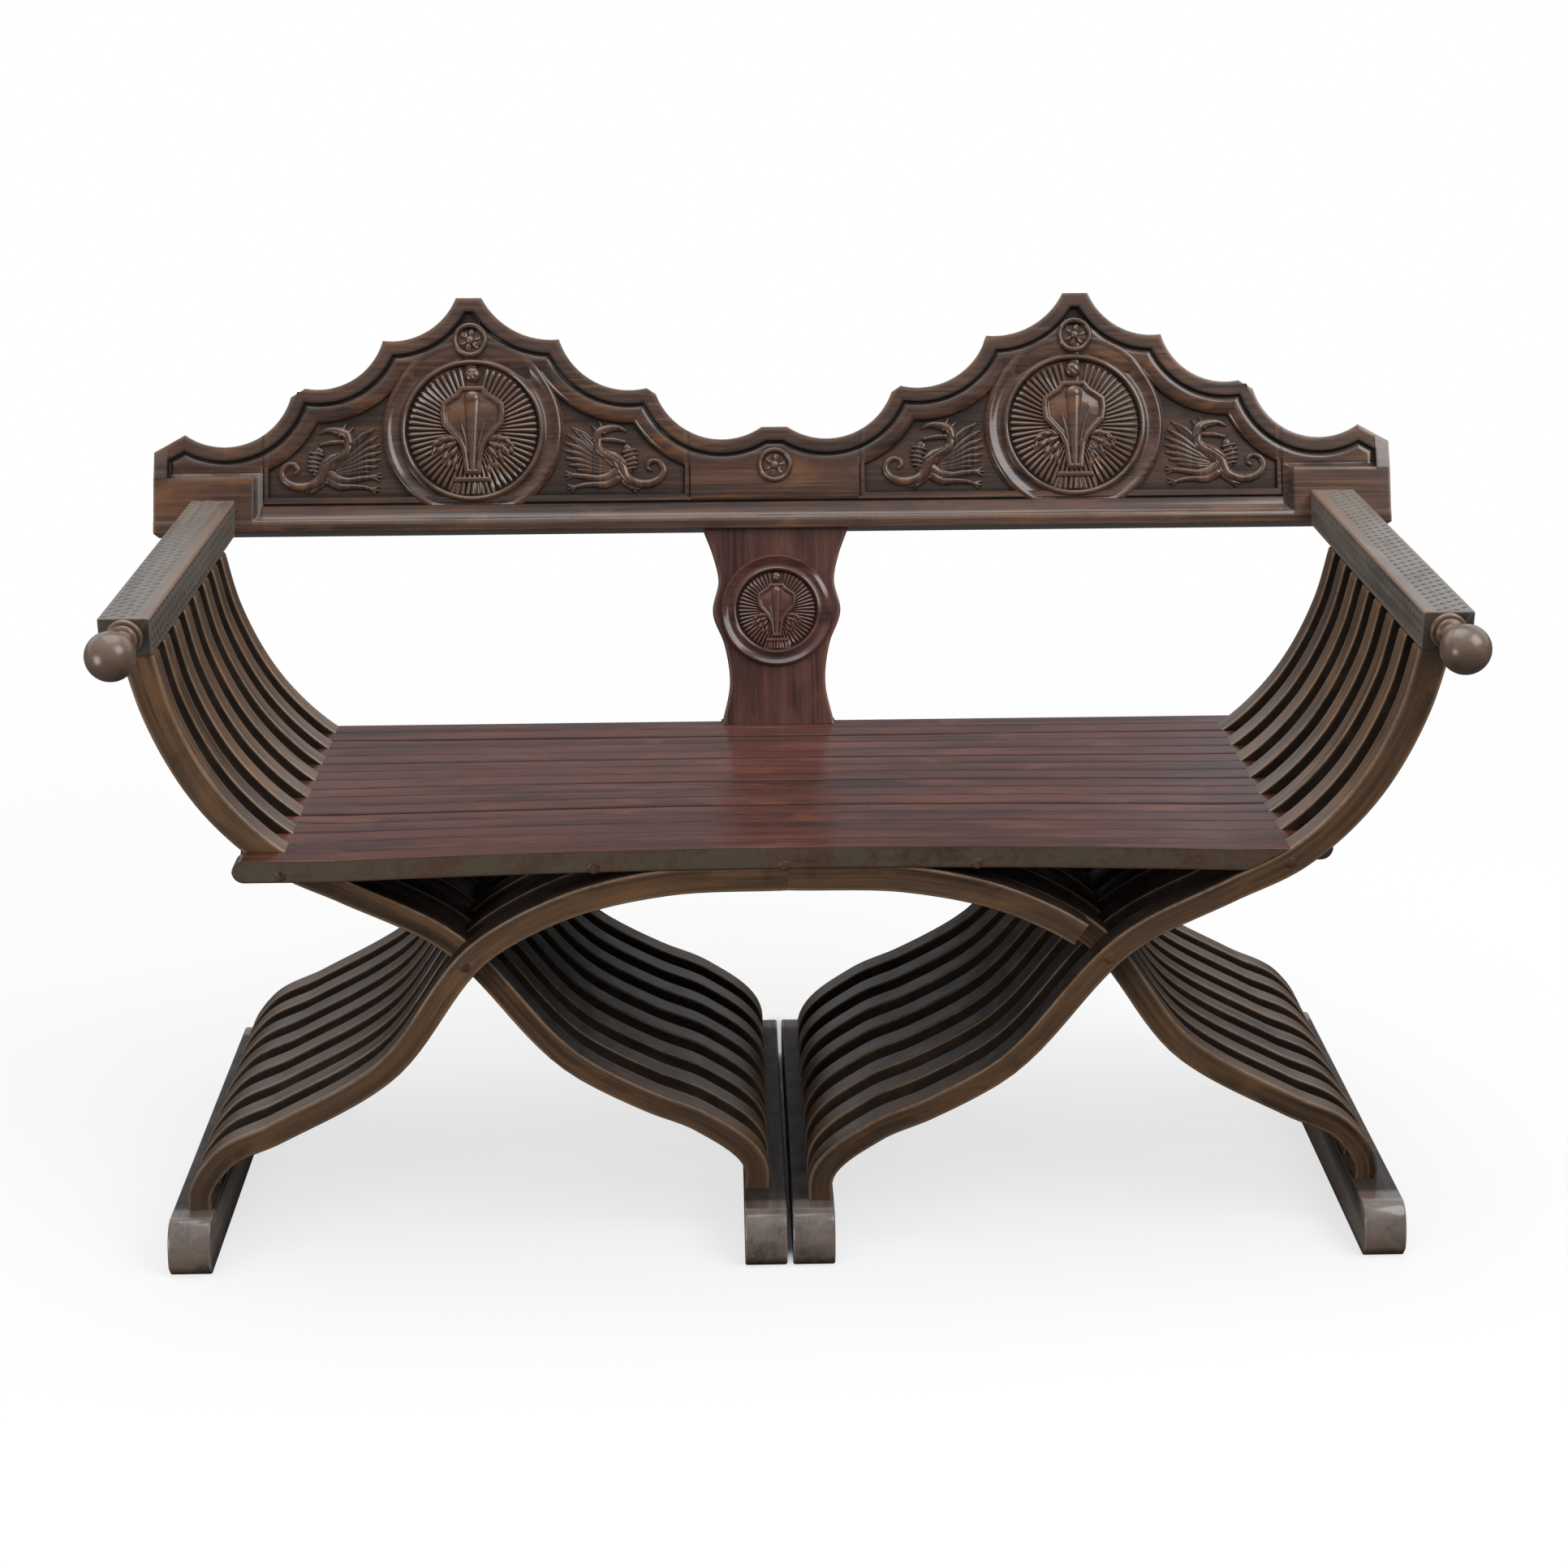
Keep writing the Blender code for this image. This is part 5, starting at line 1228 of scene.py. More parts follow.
    def height(self, across: np.ndarray, up: np.ndarray, inset: np.ndarray) -> np.ndarray:
        """Height of the carved face.

        Args:
            across: Distances from the middle.
            up: Distances up the rake.
            inset: Distances inside the scalloped outline.

        Returns:
            Heights out of the plane of the border.
        """
        x = np.abs(across)
        near = np.minimum(inset, self.corners[-1][0] - x)
        face = ramp(near, list(self.border))
        top, side = self.outside(across, up, inset)
        face = np.minimum(face, np.maximum(ramp(top, list(self.lip)), ramp(side, list(self.fillet))))
        notch = (np.abs(x - 0.3585) < 0.0105) & (inset > 0.0180) & (up > 0.150)
        face = np.where(notch, -0.0062, face)
        edge = self.corners[-1][0] - x
        face += np.where(edge < 0.0164, 0.005 * np.clip((0.012 - up) / (0.012 - self.block_top), 0.0, 1.0), 0.0)
        face = np.where(up < -0.0526, ramp(up, list(self.foot)), face)
        within = (x > self.block_inner - 0.013) & (up < self.block_top + 0.0070)
        step = np.minimum(ramp(x, list(self.block_side)), ramp(-up, list(self.block_ledge)))
        end = ramp(edge, [(0.0, -1.6), (0.35, -0.55), (0.9, -0.12), (1.6, 0.0), (9.0, 0.0)])
        toe = ramp(up, [(-90.3, -3.4), (-89.9, -1.4), (-88.8, -0.3), (-87.5, 0.0), (0.0, 0.0)])
        return np.where(within, np.maximum(face, step + end + toe), face)

    def outside(self, across: np.ndarray, up: np.ndarray, inset: np.ndarray) -> tuple[np.ndarray, np.ndarray]:
        """How far points lie outside the sunk panels, past their tops and past their sides and foot."""
        x = np.abs(across)
        top = np.maximum(self.panel_inset - inset, up - self.panel_top)
        return top, np.maximum(self.panel_bottom - up, np.maximum(self.panel_inner - x, x - self.panel_outer))

    def build(self, plane: RakedPlane, material: bpy.types.Material) -> None:
        """Makes the rail.

        Args:
            plane: The plane of the back.
            material: Its finish.
        """
        x = self.columns()
        drawn = [d / 1000.0 for d, _ in self.border] + [0.006, 0.012, 0.022, 0.027]
        drawn += [self.panel_inset - e / 1000.0 for e, _ in self.lip] + [0.0180, 0.0182]
        drawn = np.unique(np.round([d for d in drawn if d <= self.panel_inset], 5))
        fixed = [-0.0180, -0.0300, -0.040, -0.0466, -0.0475, -0.04775, -0.0484]
        fixed += [-place / 1000.0 for place, _ in self.block_ledge]
        fixed += [place / 1000.0 for place, _ in reversed(self.foot)] + [-0.0825]
        fixed = np.array(sorted(set(fixed), reverse=True))
        upper = np.stack([self.level(x, inset) for inset in drawn])
        for row in range(len(drawn)):
            upper[row] = np.maximum(upper[row], fixed[0] + (len(drawn) - row) * 2e-5)
        blend = np.linspace(0.0, 1.0, 5)[1:-1, None]
        between = upper[-1] + (fixed[0] - upper[-1]) * blend
        up = np.concatenate([upper, between, np.repeat(fixed[:, None], len(x), axis=1)])
        across = np.broadcast_to(x, up.shape)
        inset = self.inset_of(across, up)
        inset[:len(drawn)] = np.maximum(drawn[:, None], np.where(upper > fixed[0] + 0.001, 0.0, inset[:len(drawn)]))
        out = self.height(across, up, inset)
        near = np.minimum(inset, self.corners[-1][0] - np.abs(across))
        top, side = self.outside(across, up, inset)
        outside = np.maximum(top, side)
        low = up < -0.0526
        # Pale lines on the outline, panel sides, rail edges and block ledge: handling with painted highlight.
        wear = (ridge(near, 0.0008, 0.0014) + np.where(low, 0.0, 0.5 * ridge(side, 0.0008, 0.0008))
                + 0.9 * ridge(up, -0.0770, 0.0012) + 0.8 * ridge(up, -0.0895, 0.0014))
        block = np.abs(across) > self.block_inner - 0.013
        wear += np.where(block & (np.abs(across) < self.corners[-1][0] - 0.0164), 0.6 * ridge(up, self.block_top, 0.0010), 0.0)
        # Painted shade in the border groove, on the sunk panel floors and their edges, in the fillet and foot grooves,
        # in the notch and on the block's cove, with old polish.
        shade = (np.where(block & (up < self.block_top), 0.0, np.clip(1.6 * ridge(near, 0.0180, 0.0026), 0.0, 1.0)) + np.where((outside < 0.0) & ~low, 0.42, 0.0) + ridge(outside, 0.0, 0.0012)
                 + np.where(low | (outside < 0.0), 0.0, 0.9 * ridge(side, 0.0060, 0.0006))
                 + np.where(block, 0.0, ridge(up, -0.0569, 0.0012) + 0.45 * ridge(up, -0.0756, 0.0006))
                 + np.where((np.abs(np.abs(across) - 0.3585) < 0.0105) & (inset > 0.0180) & (up > 0.150), 1.0, 0.0))
        cove = block & (np.abs(across) < self.block_inner) & (up < self.block_top + 0.004) & (up > -0.0755)
        shade += np.where(cove, 0.5, 0.0)
        rows = [np.stack([across[k], up[k], out[k]], axis=-1) for k in range(len(up))]
        rows += [np.stack([x, up[-1], np.full_like(x, -self.thickness + 0.001)], axis=-1),
                 np.stack([x, up[-1] + 0.001, np.full_like(x, -self.thickness)], axis=-1),
                 np.stack([x, upper[0] - 0.001, np.full_like(x, -self.thickness)], axis=-1),
                 np.stack([x, upper[0], np.full_like(x, -self.thickness + 0.001)], axis=-1)]
        rings = np.array(rows).transpose(1, 0, 2)
        plain = np.zeros((4, len(x)))
        wear = np.concatenate([np.clip(wear, 0.0, 1.0), plain]).T
        shade = np.concatenate([np.clip(shade, 0.0, 1.0), plain]).T
        shell = loft(rings, rings.copy(), wear, shade)
        mesh = plane.dressed(shell).outward().mesh("crest_board", 28.0)
        enter(as_piece("crest_board", mesh, material), ["crest_rail"])


@dataclass
class Relief:
    """A carved relief drawn with strokes on a fine grid."""

    low: Pair
    high: Pair
    step: float = 0.0006
    ground: float = -0.0012

    def __post_init__(self) -> None:
        """Lays out the grid."""
        self.x = np.arange(self.low[0], self.high[0] + self.step / 2, self.step)
        self.y = np.arange(self.low[1], self.high[1] + self.step / 2, self.step)
        self.gx, self.gy = np.meshgrid(self.x, self.y, indexing="ij")
        self.h = np.full(self.gx.shape, self.ground)

    def stroke(self, nodes: list[Pair], radii: list[float], tall: list[float], sharp: float = 0.5,
               steps: int = 14) -> None:
        """Lays a rounded stroke along a smooth path, all sizes in millimetres.

        Args:
            nodes: Points that the stroke passes through.
            radii: Its half width at each of them.
            tall: Its height at each of them.
            sharp: Power of its section: 0.5 is round, 1 is a ridge.
            steps: Points from one node to the next.
        """
        path = smooth_path([(x / 1000.0, y / 1000.0) for x, y in nodes], steps)
        keys = np.linspace(0.0, 1.0, len(radii))
        share = np.linspace(0.0, 1.0, len(path))
        radius = np.interp(share, keys, radii) / 1000.0
        height = np.interp(share, np.linspace(0.0, 1.0, len(tall)), tall) / 1000.0
        reach = radius.max()
        low, high = path.min(axis=0) - reach, path.max(axis=0) + reach
        i0, i1 = np.searchsorted(self.x, [low[0], high[0]])
        j0, j1 = np.searchsorted(self.y, [low[1], high[1]])
        gx, gy = self.gx[i0:i1, j0:j1], self.gy[i0:i1, j0:j1]
        best = np.full(gx.shape, self.ground)
        for (px, py), r, t in zip(path, radius, height):
            inside = 1.0 - ((gx - px) ** 2 + (gy - py) ** 2) / (r * r)
            best = np.maximum(best, np.where(inside > 0.0, t * np.maximum(inside, 0.0) ** sharp + self.ground * 0.2, self.ground))
        self.h[i0:i1, j0:j1] = np.maximum(self.h[i0:i1, j0:j1], best)

    def fill(self, outline: list[Pair], profile: list[Pair]) -> None:
        """Raises the inside of a closed outline, all sizes in millimetres.

        Args:
            outline: Corners of the outline.
            profile: Distance in from the outline and height there.
        """
        corners = np.array(outline, dtype=float) / 1000.0
        near = np.full(self.gx.shape, 9.0)
        inside = np.zeros(self.gx.shape, dtype=bool)
        for (ax, ay), (bx, by) in zip(corners, np.roll(corners, -1, axis=0)):
            dx, dy = bx - ax, by - ay
            share = np.clip(((self.gx - ax) * dx + (self.gy - ay) * dy) / (dx * dx + dy * dy), 0.0, 1.0)
            near = np.minimum(near, np.hypot(self.gx - ax - share * dx, self.gy - ay - share * dy))
            if dy:
                crossed = ((ay > self.gy) != (by > self.gy)) & (self.gx < ax + (self.gy - ay) * dx / dy)
                inside ^= crossed
        self.h = np.where(inside, np.maximum(self.h, ramp(near, profile)), self.h)

    def cut(self, nodes: list[Pair], radius: float, deep: float, steps: int = 10) -> None:
        """Cuts a groove along a smooth path, all sizes in millimetres."""
        path = smooth_path([(x / 1000.0, y / 1000.0) for x, y in nodes], steps)
        r = radius / 1000.0
        near = np.full(self.gx.shape, 9.0)
        for px, py in path:
            near = np.minimum(near, (self.gx - px) ** 2 + (self.gy - py) ** 2)
        self.h -= deep / 1000.0 * np.clip(1.0 - np.sqrt(near) / r, 0.0, 1.0)

    def shell(self, floor: float, keep: float = 0.0) -> Shell:
        """Makes the closed shell of what stands out of the ground.

        Args:
            floor: Height of the flat underside.
            keep: Height past which a cell of the grid is kept.

        Returns:
            A closed shell.
        """
        nx, ny = self.h.shape
        cell = np.maximum(np.maximum(self.h[:-1, :-1], self.h[1:, :-1]), np.maximum(self.h[1:, 1:], self.h[:-1, 1:]))
        kept = cell > keep
        index = np.arange(nx * ny).reshape(nx, ny)
        a, b, c, d = index[:-1, :-1], index[1:, :-1], index[1:, 1:], index[:-1, 1:]
        top = np.stack([a, b, c, d], axis=-1)[kept]
        count = nx * ny
        faces = top.tolist() + (top[:, ::-1] + count).tolist()
        pad = np.pad(kept, 1)
        for near, one, two in ((pad[1:-1, :-2], a, b), (pad[2:, 1:-1], b, c), (pad[1:-1, 2:], c, d), (pad[:-2, 1:-1], d, a)):
            open_side = kept & ~near
            p, q = one[open_side], two[open_side]
            faces += np.stack([q, p, p + count, q + count], axis=-1).tolist()
        points = np.concatenate([np.stack([self.gx, self.gy, self.h], axis=-1).reshape(-1, 3),
                                 np.stack([self.gx, self.gy, np.full_like(self.h, floor)], axis=-1).reshape(-1, 3)])
        used = np.unique(np.array([corner for face in faces for corner in face]))
        fresh = np.full(len(points), -1)
        fresh[used] = np.arange(len(used))
        # Convex crowns get pale (handling with painted highlight); hollows and low ground get painted shade.
        bend = np.zeros_like(self.h)
        bend[1:-1, 1:-1] = (self.h[2:, 1:-1] + self.h[:-2, 1:-1] + self.h[1:-1, 2:] + self.h[1:-1, :-2]
                            - 4 * self.h[1:-1, 1:-1])
        crown = np.clip(self.h / max(float(self.h.max()), 1e-6), 0.0, 1.0)
        wear = np.clip(-bend * 5000.0, 0.0, 1.0) * crown ** 2
        shade = np.clip(bend * 4500.0, 0.0, 1.0) * 0.8 + (1.0 - np.clip(crown * 2.5, 0.0, 1.0)) * 0.5
        wear = np.concatenate([wear.ravel(), np.zeros(count)])[used]
        shade = np.clip(np.concatenate([shade.ravel(), np.zeros(count)])[used], 0.0, 1.0)
        faces = fresh[np.array(faces)].tolist()
        return Shell(points[used], faces, points[used] + 2.3, wear, shade)


@dataclass
class Dragons:
    """The four winged dragons in the panels, a mirrored pair beside each medallion."""

    centre: float = 0.355
    floor: float = -0.009

    def relief(self) -> Relief:
        """Draws one dragon that faces away from its medallion at the origin, in millimetres.

        Returns:
            The relief.
        """
        carving = Relief((0.100, -0.0475), (0.236, 0.046))
        for nodes, radii in self.feathers():
            carving.stroke(nodes, radii, [3.4, 3.8, 3.4, 2.4], 0.62)
        for nodes, radii, tall in self.limbs():
            carving.stroke(nodes, radii, tall)
        for x, y in ((184.0, 4.6), (185.4, -0.8), (186.0, -6.2), (185.8, -11.6), (184.6, -16.8)):
            carving.stroke([(x - 7.6, y - 1.8), (x, y), (x + 6.8, y + 1.4)], [2.3, 2.6, 2.0], [5.0, 5.6, 4.2])
        carving.stroke([(154.6, 25.2), (155.0, 25.2)], [2.2, 2.2], [8.4, 8.4])
        for k in range(11):
            share = 0.06 + 0.075 * k
            x = 146.0 + 62.0 * share
            carving.cut([(x - 1.0, 11.0 - 42.0 * share), (x + 6.0, 6.0 - 42.0 * share)], 1.1, 0.8)
        return carving

    @staticmethod
    def limbs() -> list[tuple[list[Pair], list[float], list[float]]]:
        """Paths, half widths and heights of the body, neck, jaws, wing bone and legs, in millimetres."""
        rows = [([(166, -11), (152, 1), (142, 14), (131, 25), (120, 31)], [6.0, 5.2, 4.4, 3.6, 2.2], [5.6, 5.0, 4.2, 3.0]),
                ([(170, -20), (160, -26), (147, -28), (131, -25.5), (117, -24)], [8.2, 6.8, 5.0, 4.0, 3.4],
                 [5.0, 4.6, 4.2, 3.6]),
                ([(169, -28), (156, -35), (142, -35), (128, -36), (118, -38.5)], [6.6, 5.2, 4.0, 3.3, 2.6],
                 [4.8, 4.4, 3.8, 3.2]),
                ([(175.5, -23.6), (179.7, -33.5), (187.3, -39.5)], [6.4, 4.4, 3.2], [4.8, 4.0, 3.4]),
                ([(181, 7), (186, -5), (184, -18)], [6.0, 7.0, 5.4], [3.6, 4.2, 3.6]),
                ([(147, 18), (147, 8.5), (154, 1), (166, -4), (173, -11), (176, -19), (181, -28), (189.5, -33), (200, -35),
                  (212, -33), (221, -27), (224.4, -19), (221.5, -11.5), (214, -7.5), (207, -10), (205, -15.5), (209, -19)],
                 [6.0, 6.2, 6.8, 8.2, 8.8, 8.0, 6.8, 6.0, 5.6, 5.2, 4.8, 4.4, 3.9, 3.5, 3.2, 2.9, 2.2],
                 [5.8, 6.2, 6.8, 7.0, 6.6, 6.2, 5.8, 5.4, 5.0, 4.6, 4.2, 3.8, 3.2]),
                ([(145, 17.5), (148, 26), (159, 31), (173, 31.5), (180, 28)], [6.2, 6.4, 5.6, 3.6, 1.8],
                 [6.6, 6.8, 5.8, 4.2, 3.0]),
                ([(153, 18), (165, 17.5), (178, 15.0)], [3.4, 3.6, 2.8], [5.2, 5.4, 4.8]),
                ([(147, 27), (140, 35)], [3.2, 1.4], [5.4, 3.0]), ([(153, 31), (149, 39)], [2.8, 1.2], [5.0, 2.6])]
        for root, tips in (((118, -24), ((109, -19.5), (107.5, -24.2), (110, -29))),
                           ((119, -38.6), ((111, -35.4), (111, -40.2), (115.5, -43.2))),
                           ((187, -39.6), ((195, -37.6), (196, -41.4), (191, -44.4)))):
            rows += [([root, tip], [2.8, 1.5], [3.8, 2.2]) for tip in tips]
        return rows

    @staticmethod
    def feathers() -> list[tuple[list[Pair], list[float]]]:
        """Paths and half widths of the wing's feathers, in millimetres."""
        rows = [[(158, -4), (146, 6), (133, 19), (117, 33)], [(159, -7), (145, 0.5), (129, 13), (112.5, 24)],
                [(159, -10), (144, -3.5), (127, 6.5), (109.5, 14.5)], [(160, -13), (144, -8), (127, 0), (108.5, 5.5)],
                [(160, -16), (144, -12.5), (128, -7), (109.5, -3.5)], [(159, -18.5), (145, -17), (131, -13.5), (113, -11.5)],
                [(157, -20.5), (147, -20.5), (137, -19), (123, -17.5)]]
        short = [[(158, -3), (150, 5), (140, 14)], [(159, -8), (148, -1), (136, 6.5)], [(159, -12), (147, -7), (134, -1.5)],
                 [(159, -16), (148, -13), (136, -9)]]
        return [(row, [3.0, 4.0, 4.6, 4.4, 2.0]) for row in rows] + [(row, [3.2, 4.0, 2.4]) for row in short]

    def build(self, plane: RakedPlane, material: bpy.types.Material) -> None:
        """Makes the four dragons.

        Args:
            plane: The plane of the back.
            material: Their finish.
        """
        right = self.relief().shell(-0.0022)
        right.grain = right.points[:, [1, 0, 2]] + 2.3
        for side in Side:
            for way, place in ((1, "outer"), (-1, "inner")):
                shell = right if way * side.value > 0 else right.mirrored()
                moved = shell.moved((side.value * self.centre, 0.0, self.floor))
                name = f"dragon_{place}_{side.letter}"
                mesh = plane.dressed(moved).mesh(name, 60.0)
                enter(as_piece(name, mesh, material))


@dataclass
class Medallion:
    """A turned medallion with a ring, a rayed disc and a carved cartouche."""

    name: str
    across: float
    up: float
    disc: float
    radius: float
    base: float
    ring: tuple
    slot: str
    rays: int
    cut_below: float | None = None
    falling: tuple = ()

    def face(self) -> Shell:
        """The ring and the disc as one closed turned shell."""
        rows = [(0.0, 0.0), (self.disc * 0.5, 0.0)] + [(r / 1000.0, h / 1000.0) for r, h in self.ring]
        rows += [(self.radius, -0.0125), (0.0, -0.0125)]
        shell = lathe(rows, 180)
        radius = np.hypot(shell.points[:, 0], shell.points[:, 1])
        if self.falling:
            aside = np.clip((np.abs(np.arctan2(shell.points[:, 0], shell.points[:, 1])) - 0.70) / 0.40, 0.0, 1.0)
            drop = np.interp(radius * 1000.0, *zip(*self.falling)) / 1000.0
            level = shell.points[:, 2] > 0.0
            shell.points[:, 2] -= np.where(level, drop * aside * aside * (3.0 - 2.0 * aside), 0.0)
        shell.grain = shell.points + 5.1
        # Pale bead: handling with painted highlight. Painted shade on the disc's ground, at its edge and in the cove.
        shell.wear = np.clip(0.5 * ridge(radius, self.disc + 0.004, 0.0020), 0.0, 1.0)
        shell.shade = np.clip(0.8 * (radius < self.disc) + ridge(radius, self.disc + 0.0008, 0.0014)
                              + 0.55 * ridge(radius, self.disc + 0.0095, 0.0016), 0.0, 1.0)
        if self.cut_below is not None:
            shell.points[:, 1] = np.maximum(shell.points[:, 1], self.cut_below)
        return shell

    def ray(self) -> Shell:
        """One raised ray, its tip at the ring."""
        inner, outer = self.disc * 0.34, self.disc * 0.99
        pitch = (2 * math.pi - 0.34) / self.rays
        tall = 0.0034 * max(self.disc / 0.077, 0.75)
        rows = []
        for r, high, share in ((inner, 0.3, 0.30), (inner * 1.2, 0.7, 0.42), (outer * 0.80, 1.0, 0.45),
                               (outer * 0.92, 1.0, 0.44), (outer * 0.97, 0.86, 0.36), (outer, 0.5, 0.20)):
            half = r * pitch * share
            rows.append([(r, -half, -0.0006), (r, -half * 0.62, tall * high * 0.72), (r, 0.0, tall * high),
                         (r, half * 0.62, tall * high * 0.72), (r, half, -0.0006)])
        rings = np.array(rows)
        # Pale ridge with painted highlight; painted shade on the ray's sides, in the gaps between rays.
        worn = np.broadcast_to([0.0, 0.15, 0.7, 0.15, 0.0], rings.shape[:2])
        dark = np.broadcast_to([1.0, 0.2, 0.0, 0.2, 1.0], rings.shape[:2])
        return loft(rings, rings + 1.7, worn, dark)

    def cartouche(self) -> Relief:
        """The shield, drop and leaves in the middle of the disc, drawn for a disc of 77 mm."""
        carving = Relief((-0.056, -0.0765), (0.056, 0.0775))
        for way in (1, -1):
            for x, y, turn, size in ((25, -9, 0.5, 7.0), (34, -10, -0.1, 7.5), (43, -15, -0.7, 6.5), (28, -18, -0.4, 7.5),
                                     (38, -23, -0.9, 7.0), (46, -25, -1.2, 5.0), (24, -27, -0.9, 7.0), (33, -32, -1.2, 6.5),
                                     (21, -37, -1.3, 6.0), (28, -41, -1.4, 5.0), (19, -46, -1.5, 4.6)):
                reach = (size * 1.1 * math.cos(turn), size * 1.1 * math.sin(turn))
                carving.stroke([(way * (x - reach[0]), y - reach[1]), (way * x, y),
                                (way * (x + reach[0]), y + reach[1])], [size * 0.40, size * 0.62, size * 0.28],
                               [3.6, 5.2, 3.4], 0.6, 8)
        half = [(14, 53), (20, 45), (29, 39), (37.5, 33), (38.5, 20), (36, 6), (27, -4), (18, -14), (14, -22), (12.5, -30),
                (11, -42), (10, -53)]
        outline = half + [(-x, y) for x, y in reversed(half)]
        carving.fill(outline, [(0.0, -1.2), (0.5, 3.6), (1.4, 5.4), (4.2, 5.9), (5.8, 5.3), (7.0, 3.4), (9.0, 2.8),
                               (13.0, 3.3), (20.0, 4.2)])
        carving.fill([(-22, -55), (22, -55), (23, -62.5), (-23, -62.5)], [(0.0, -1.2), (0.6, 3.6), (1.8, 5.2), (4.0, 5.4)])
        carving.stroke([(0, 36), (0, 22), (0, -14), (0, -50)], [11.0, 10.0, 7.0, 4.2], [8.2, 8.0, 7.0, 6.0], 0.5)
        carving.stroke([(0, 37.5), (0, 38)], [10.5, 10.5], [8.6, 8.6])
        for way in (1, -1):
            carving.stroke([(way * 17, 26), (way * 13, 6), (way * 8, -14), (way * 6, -46)], [2.4, 2.6, 2.4, 1.8],
                           [4.4, 4.8, 5.0, 5.0], 0.5)
        carving.stroke([(0, 66.2), (0, 66.6)], [9.8, 9.8], [6.6, 6.6])
        carving.cut([(-2.6, 68.0), (1.0, 65.0), (2.6, 63.2)], 2.2, 1.2)
        for k in range(-4, 5):
            carving.stroke([(k * 5.2, -64), (k * 6.2, -75)], [2.4, 3.1], [3.6, 4.2], 0.5)
        return carving

    def build(self, plane: RakedPlane, growth: Growth, material: bpy.types.Material) -> None:
        """Makes the turned face, the rays and the cartouche.

        Args:
            plane: The plane of the back.
            growth: The Geometry Nodes trees.
            material: Their finish.
        """
        face = self.face().mesh(self.name + "_face", 24.0)
        plane.move_mesh(face, self.across, self.up, self.base)
        enter(as_piece(self.name + "_face", face, material))
        rays = grown(self.name + "_rays", self.ray().mesh(self.name + "_ray", 30.0), growth.wheel, {
            "Count": self.rays, "Radius": 0.0, "Unevenness": 0.0, "Turn": math.pi / 2 + 0.20,
            "Arc": 2 * math.pi - 0.34, "Material": material})
        plane.move_mesh(rays, self.across, self.up, self.base)
        enter(as_piece(self.name + "_rays", rays, material))
        relief = self.cartouche()
        scale = self.disc / 0.077
        relief.gx, relief.gy = relief.gx * scale, relief.gy * scale
        relief.h = relief.h * max(scale, 0.7)
        carving = relief.shell(-0.0022).mesh(self.name + "_cartouche", 60.0)
        plane.move_mesh(carving, self.across, self.up, self.base)
        enter(as_piece(self.name + "_cartouche", carving, material))


@dataclass
class Rosettes:
    """The small flowers at the two apexes and in the middle of the rail."""

    radius: float = 0.021
    petals: int = 6
    spots: tuple = ((-0.357, 0.137), (0.357, 0.137), (0.0, -0.0147))

    def dish(self) -> Shell:
        """The ring and its dish."""
        r = self.radius
        rows = [(0.0, -0.0034), (r * 0.60, -0.0034), (r * 0.66, -0.0026), (r * 0.69, 0.0), (r * 0.74, 0.0018),
                (r * 0.82, 0.0028), (r * 0.90, 0.0026), (r * 0.96, 0.0014), (r, -0.0008), (r, -0.007), (0.0, -0.007)]
        shell = lathe(rows, 72)
        away = np.hypot(shell.points[:, 0], shell.points[:, 1])
        # Pale ring top with painted highlight; painted shade in the dish and at the rim.
        shell.wear = 0.6 * ridge(away, r * 0.84, r * 0.07)
        shell.shade = np.clip(1.2 * (away < r * 0.695) + 0.6 * ridge(away, r, r * 0.02), 0.0, 1.0)
        return shell

    def petal(self) -> Shell:
        """One petal that points out along x."""
        r = self.radius
        rows = []
        for share, half, tall in ((0.16, 0.04, 0.0006), (0.28, 0.12, 0.0016), (0.42, 0.17, 0.0018), (0.53, 0.14, 0.0014),
                                  (0.62, 0.05, 0.0002)):
            x, w = r * share, r * half
            rows.append([(x, -w, -0.0040), (x, -w * 0.7, tall - 0.0010), (x, 0.0, tall - 0.0020), (x, w * 0.7, tall - 0.0010),
                         (x, w, -0.0040)])
        rings = np.array(rows)
        # Pale petal sides with painted highlight; painted shade along the petal's edges.
        return loft(rings, rings + 0.6, np.broadcast_to([0.0, 0.9, 0.2, 0.9, 0.0], rings.shape[:2]),
                    np.broadcast_to([0.7, 0.0, 0.2, 0.0, 0.7], rings.shape[:2]))

    def boss(self) -> Shell:
        """The round boss in the middle."""
        r = self.radius * 0.24
        rows = [(0.0, -0.0040), (r, -0.0040), (r, -0.0004), (r * 0.86, 0.0014), (r * 0.5, 0.0028), (0.0, 0.0033)]
        shell = lathe(rows, 28)
        # The boss paler towards its top: handling and painted highlight.
        shell.wear = np.clip(shell.points[:, 2] / 0.003, 0.0, 1.0)
        return shell

    def build(self, plane: RakedPlane, growth: Growth, material: bpy.types.Material) -> None:
        """Makes the three flowers.

        Args:
            plane: The plane of the back.
            growth: The Geometry Nodes trees.
            material: Their finish.
        """
        for number, (across, up) in enumerate(self.spots, 1):
            turned = self.dish().joined(self.boss()).mesh(f"rosette_{number}", 40.0)
            petals = grown(f"rosette_petals_{number}", self.petal().mesh("petal", 50.0), growth.wheel, {
                "Count": self.petals, "Radius": 0.0, "Turn": 0.3, "Unevenness": 0.05, "Material": material})
            for mesh in (turned, petals):
                plane.move_mesh(mesh, across, up, -0.0006)
                enter(as_piece(mesh.name, mesh, material))


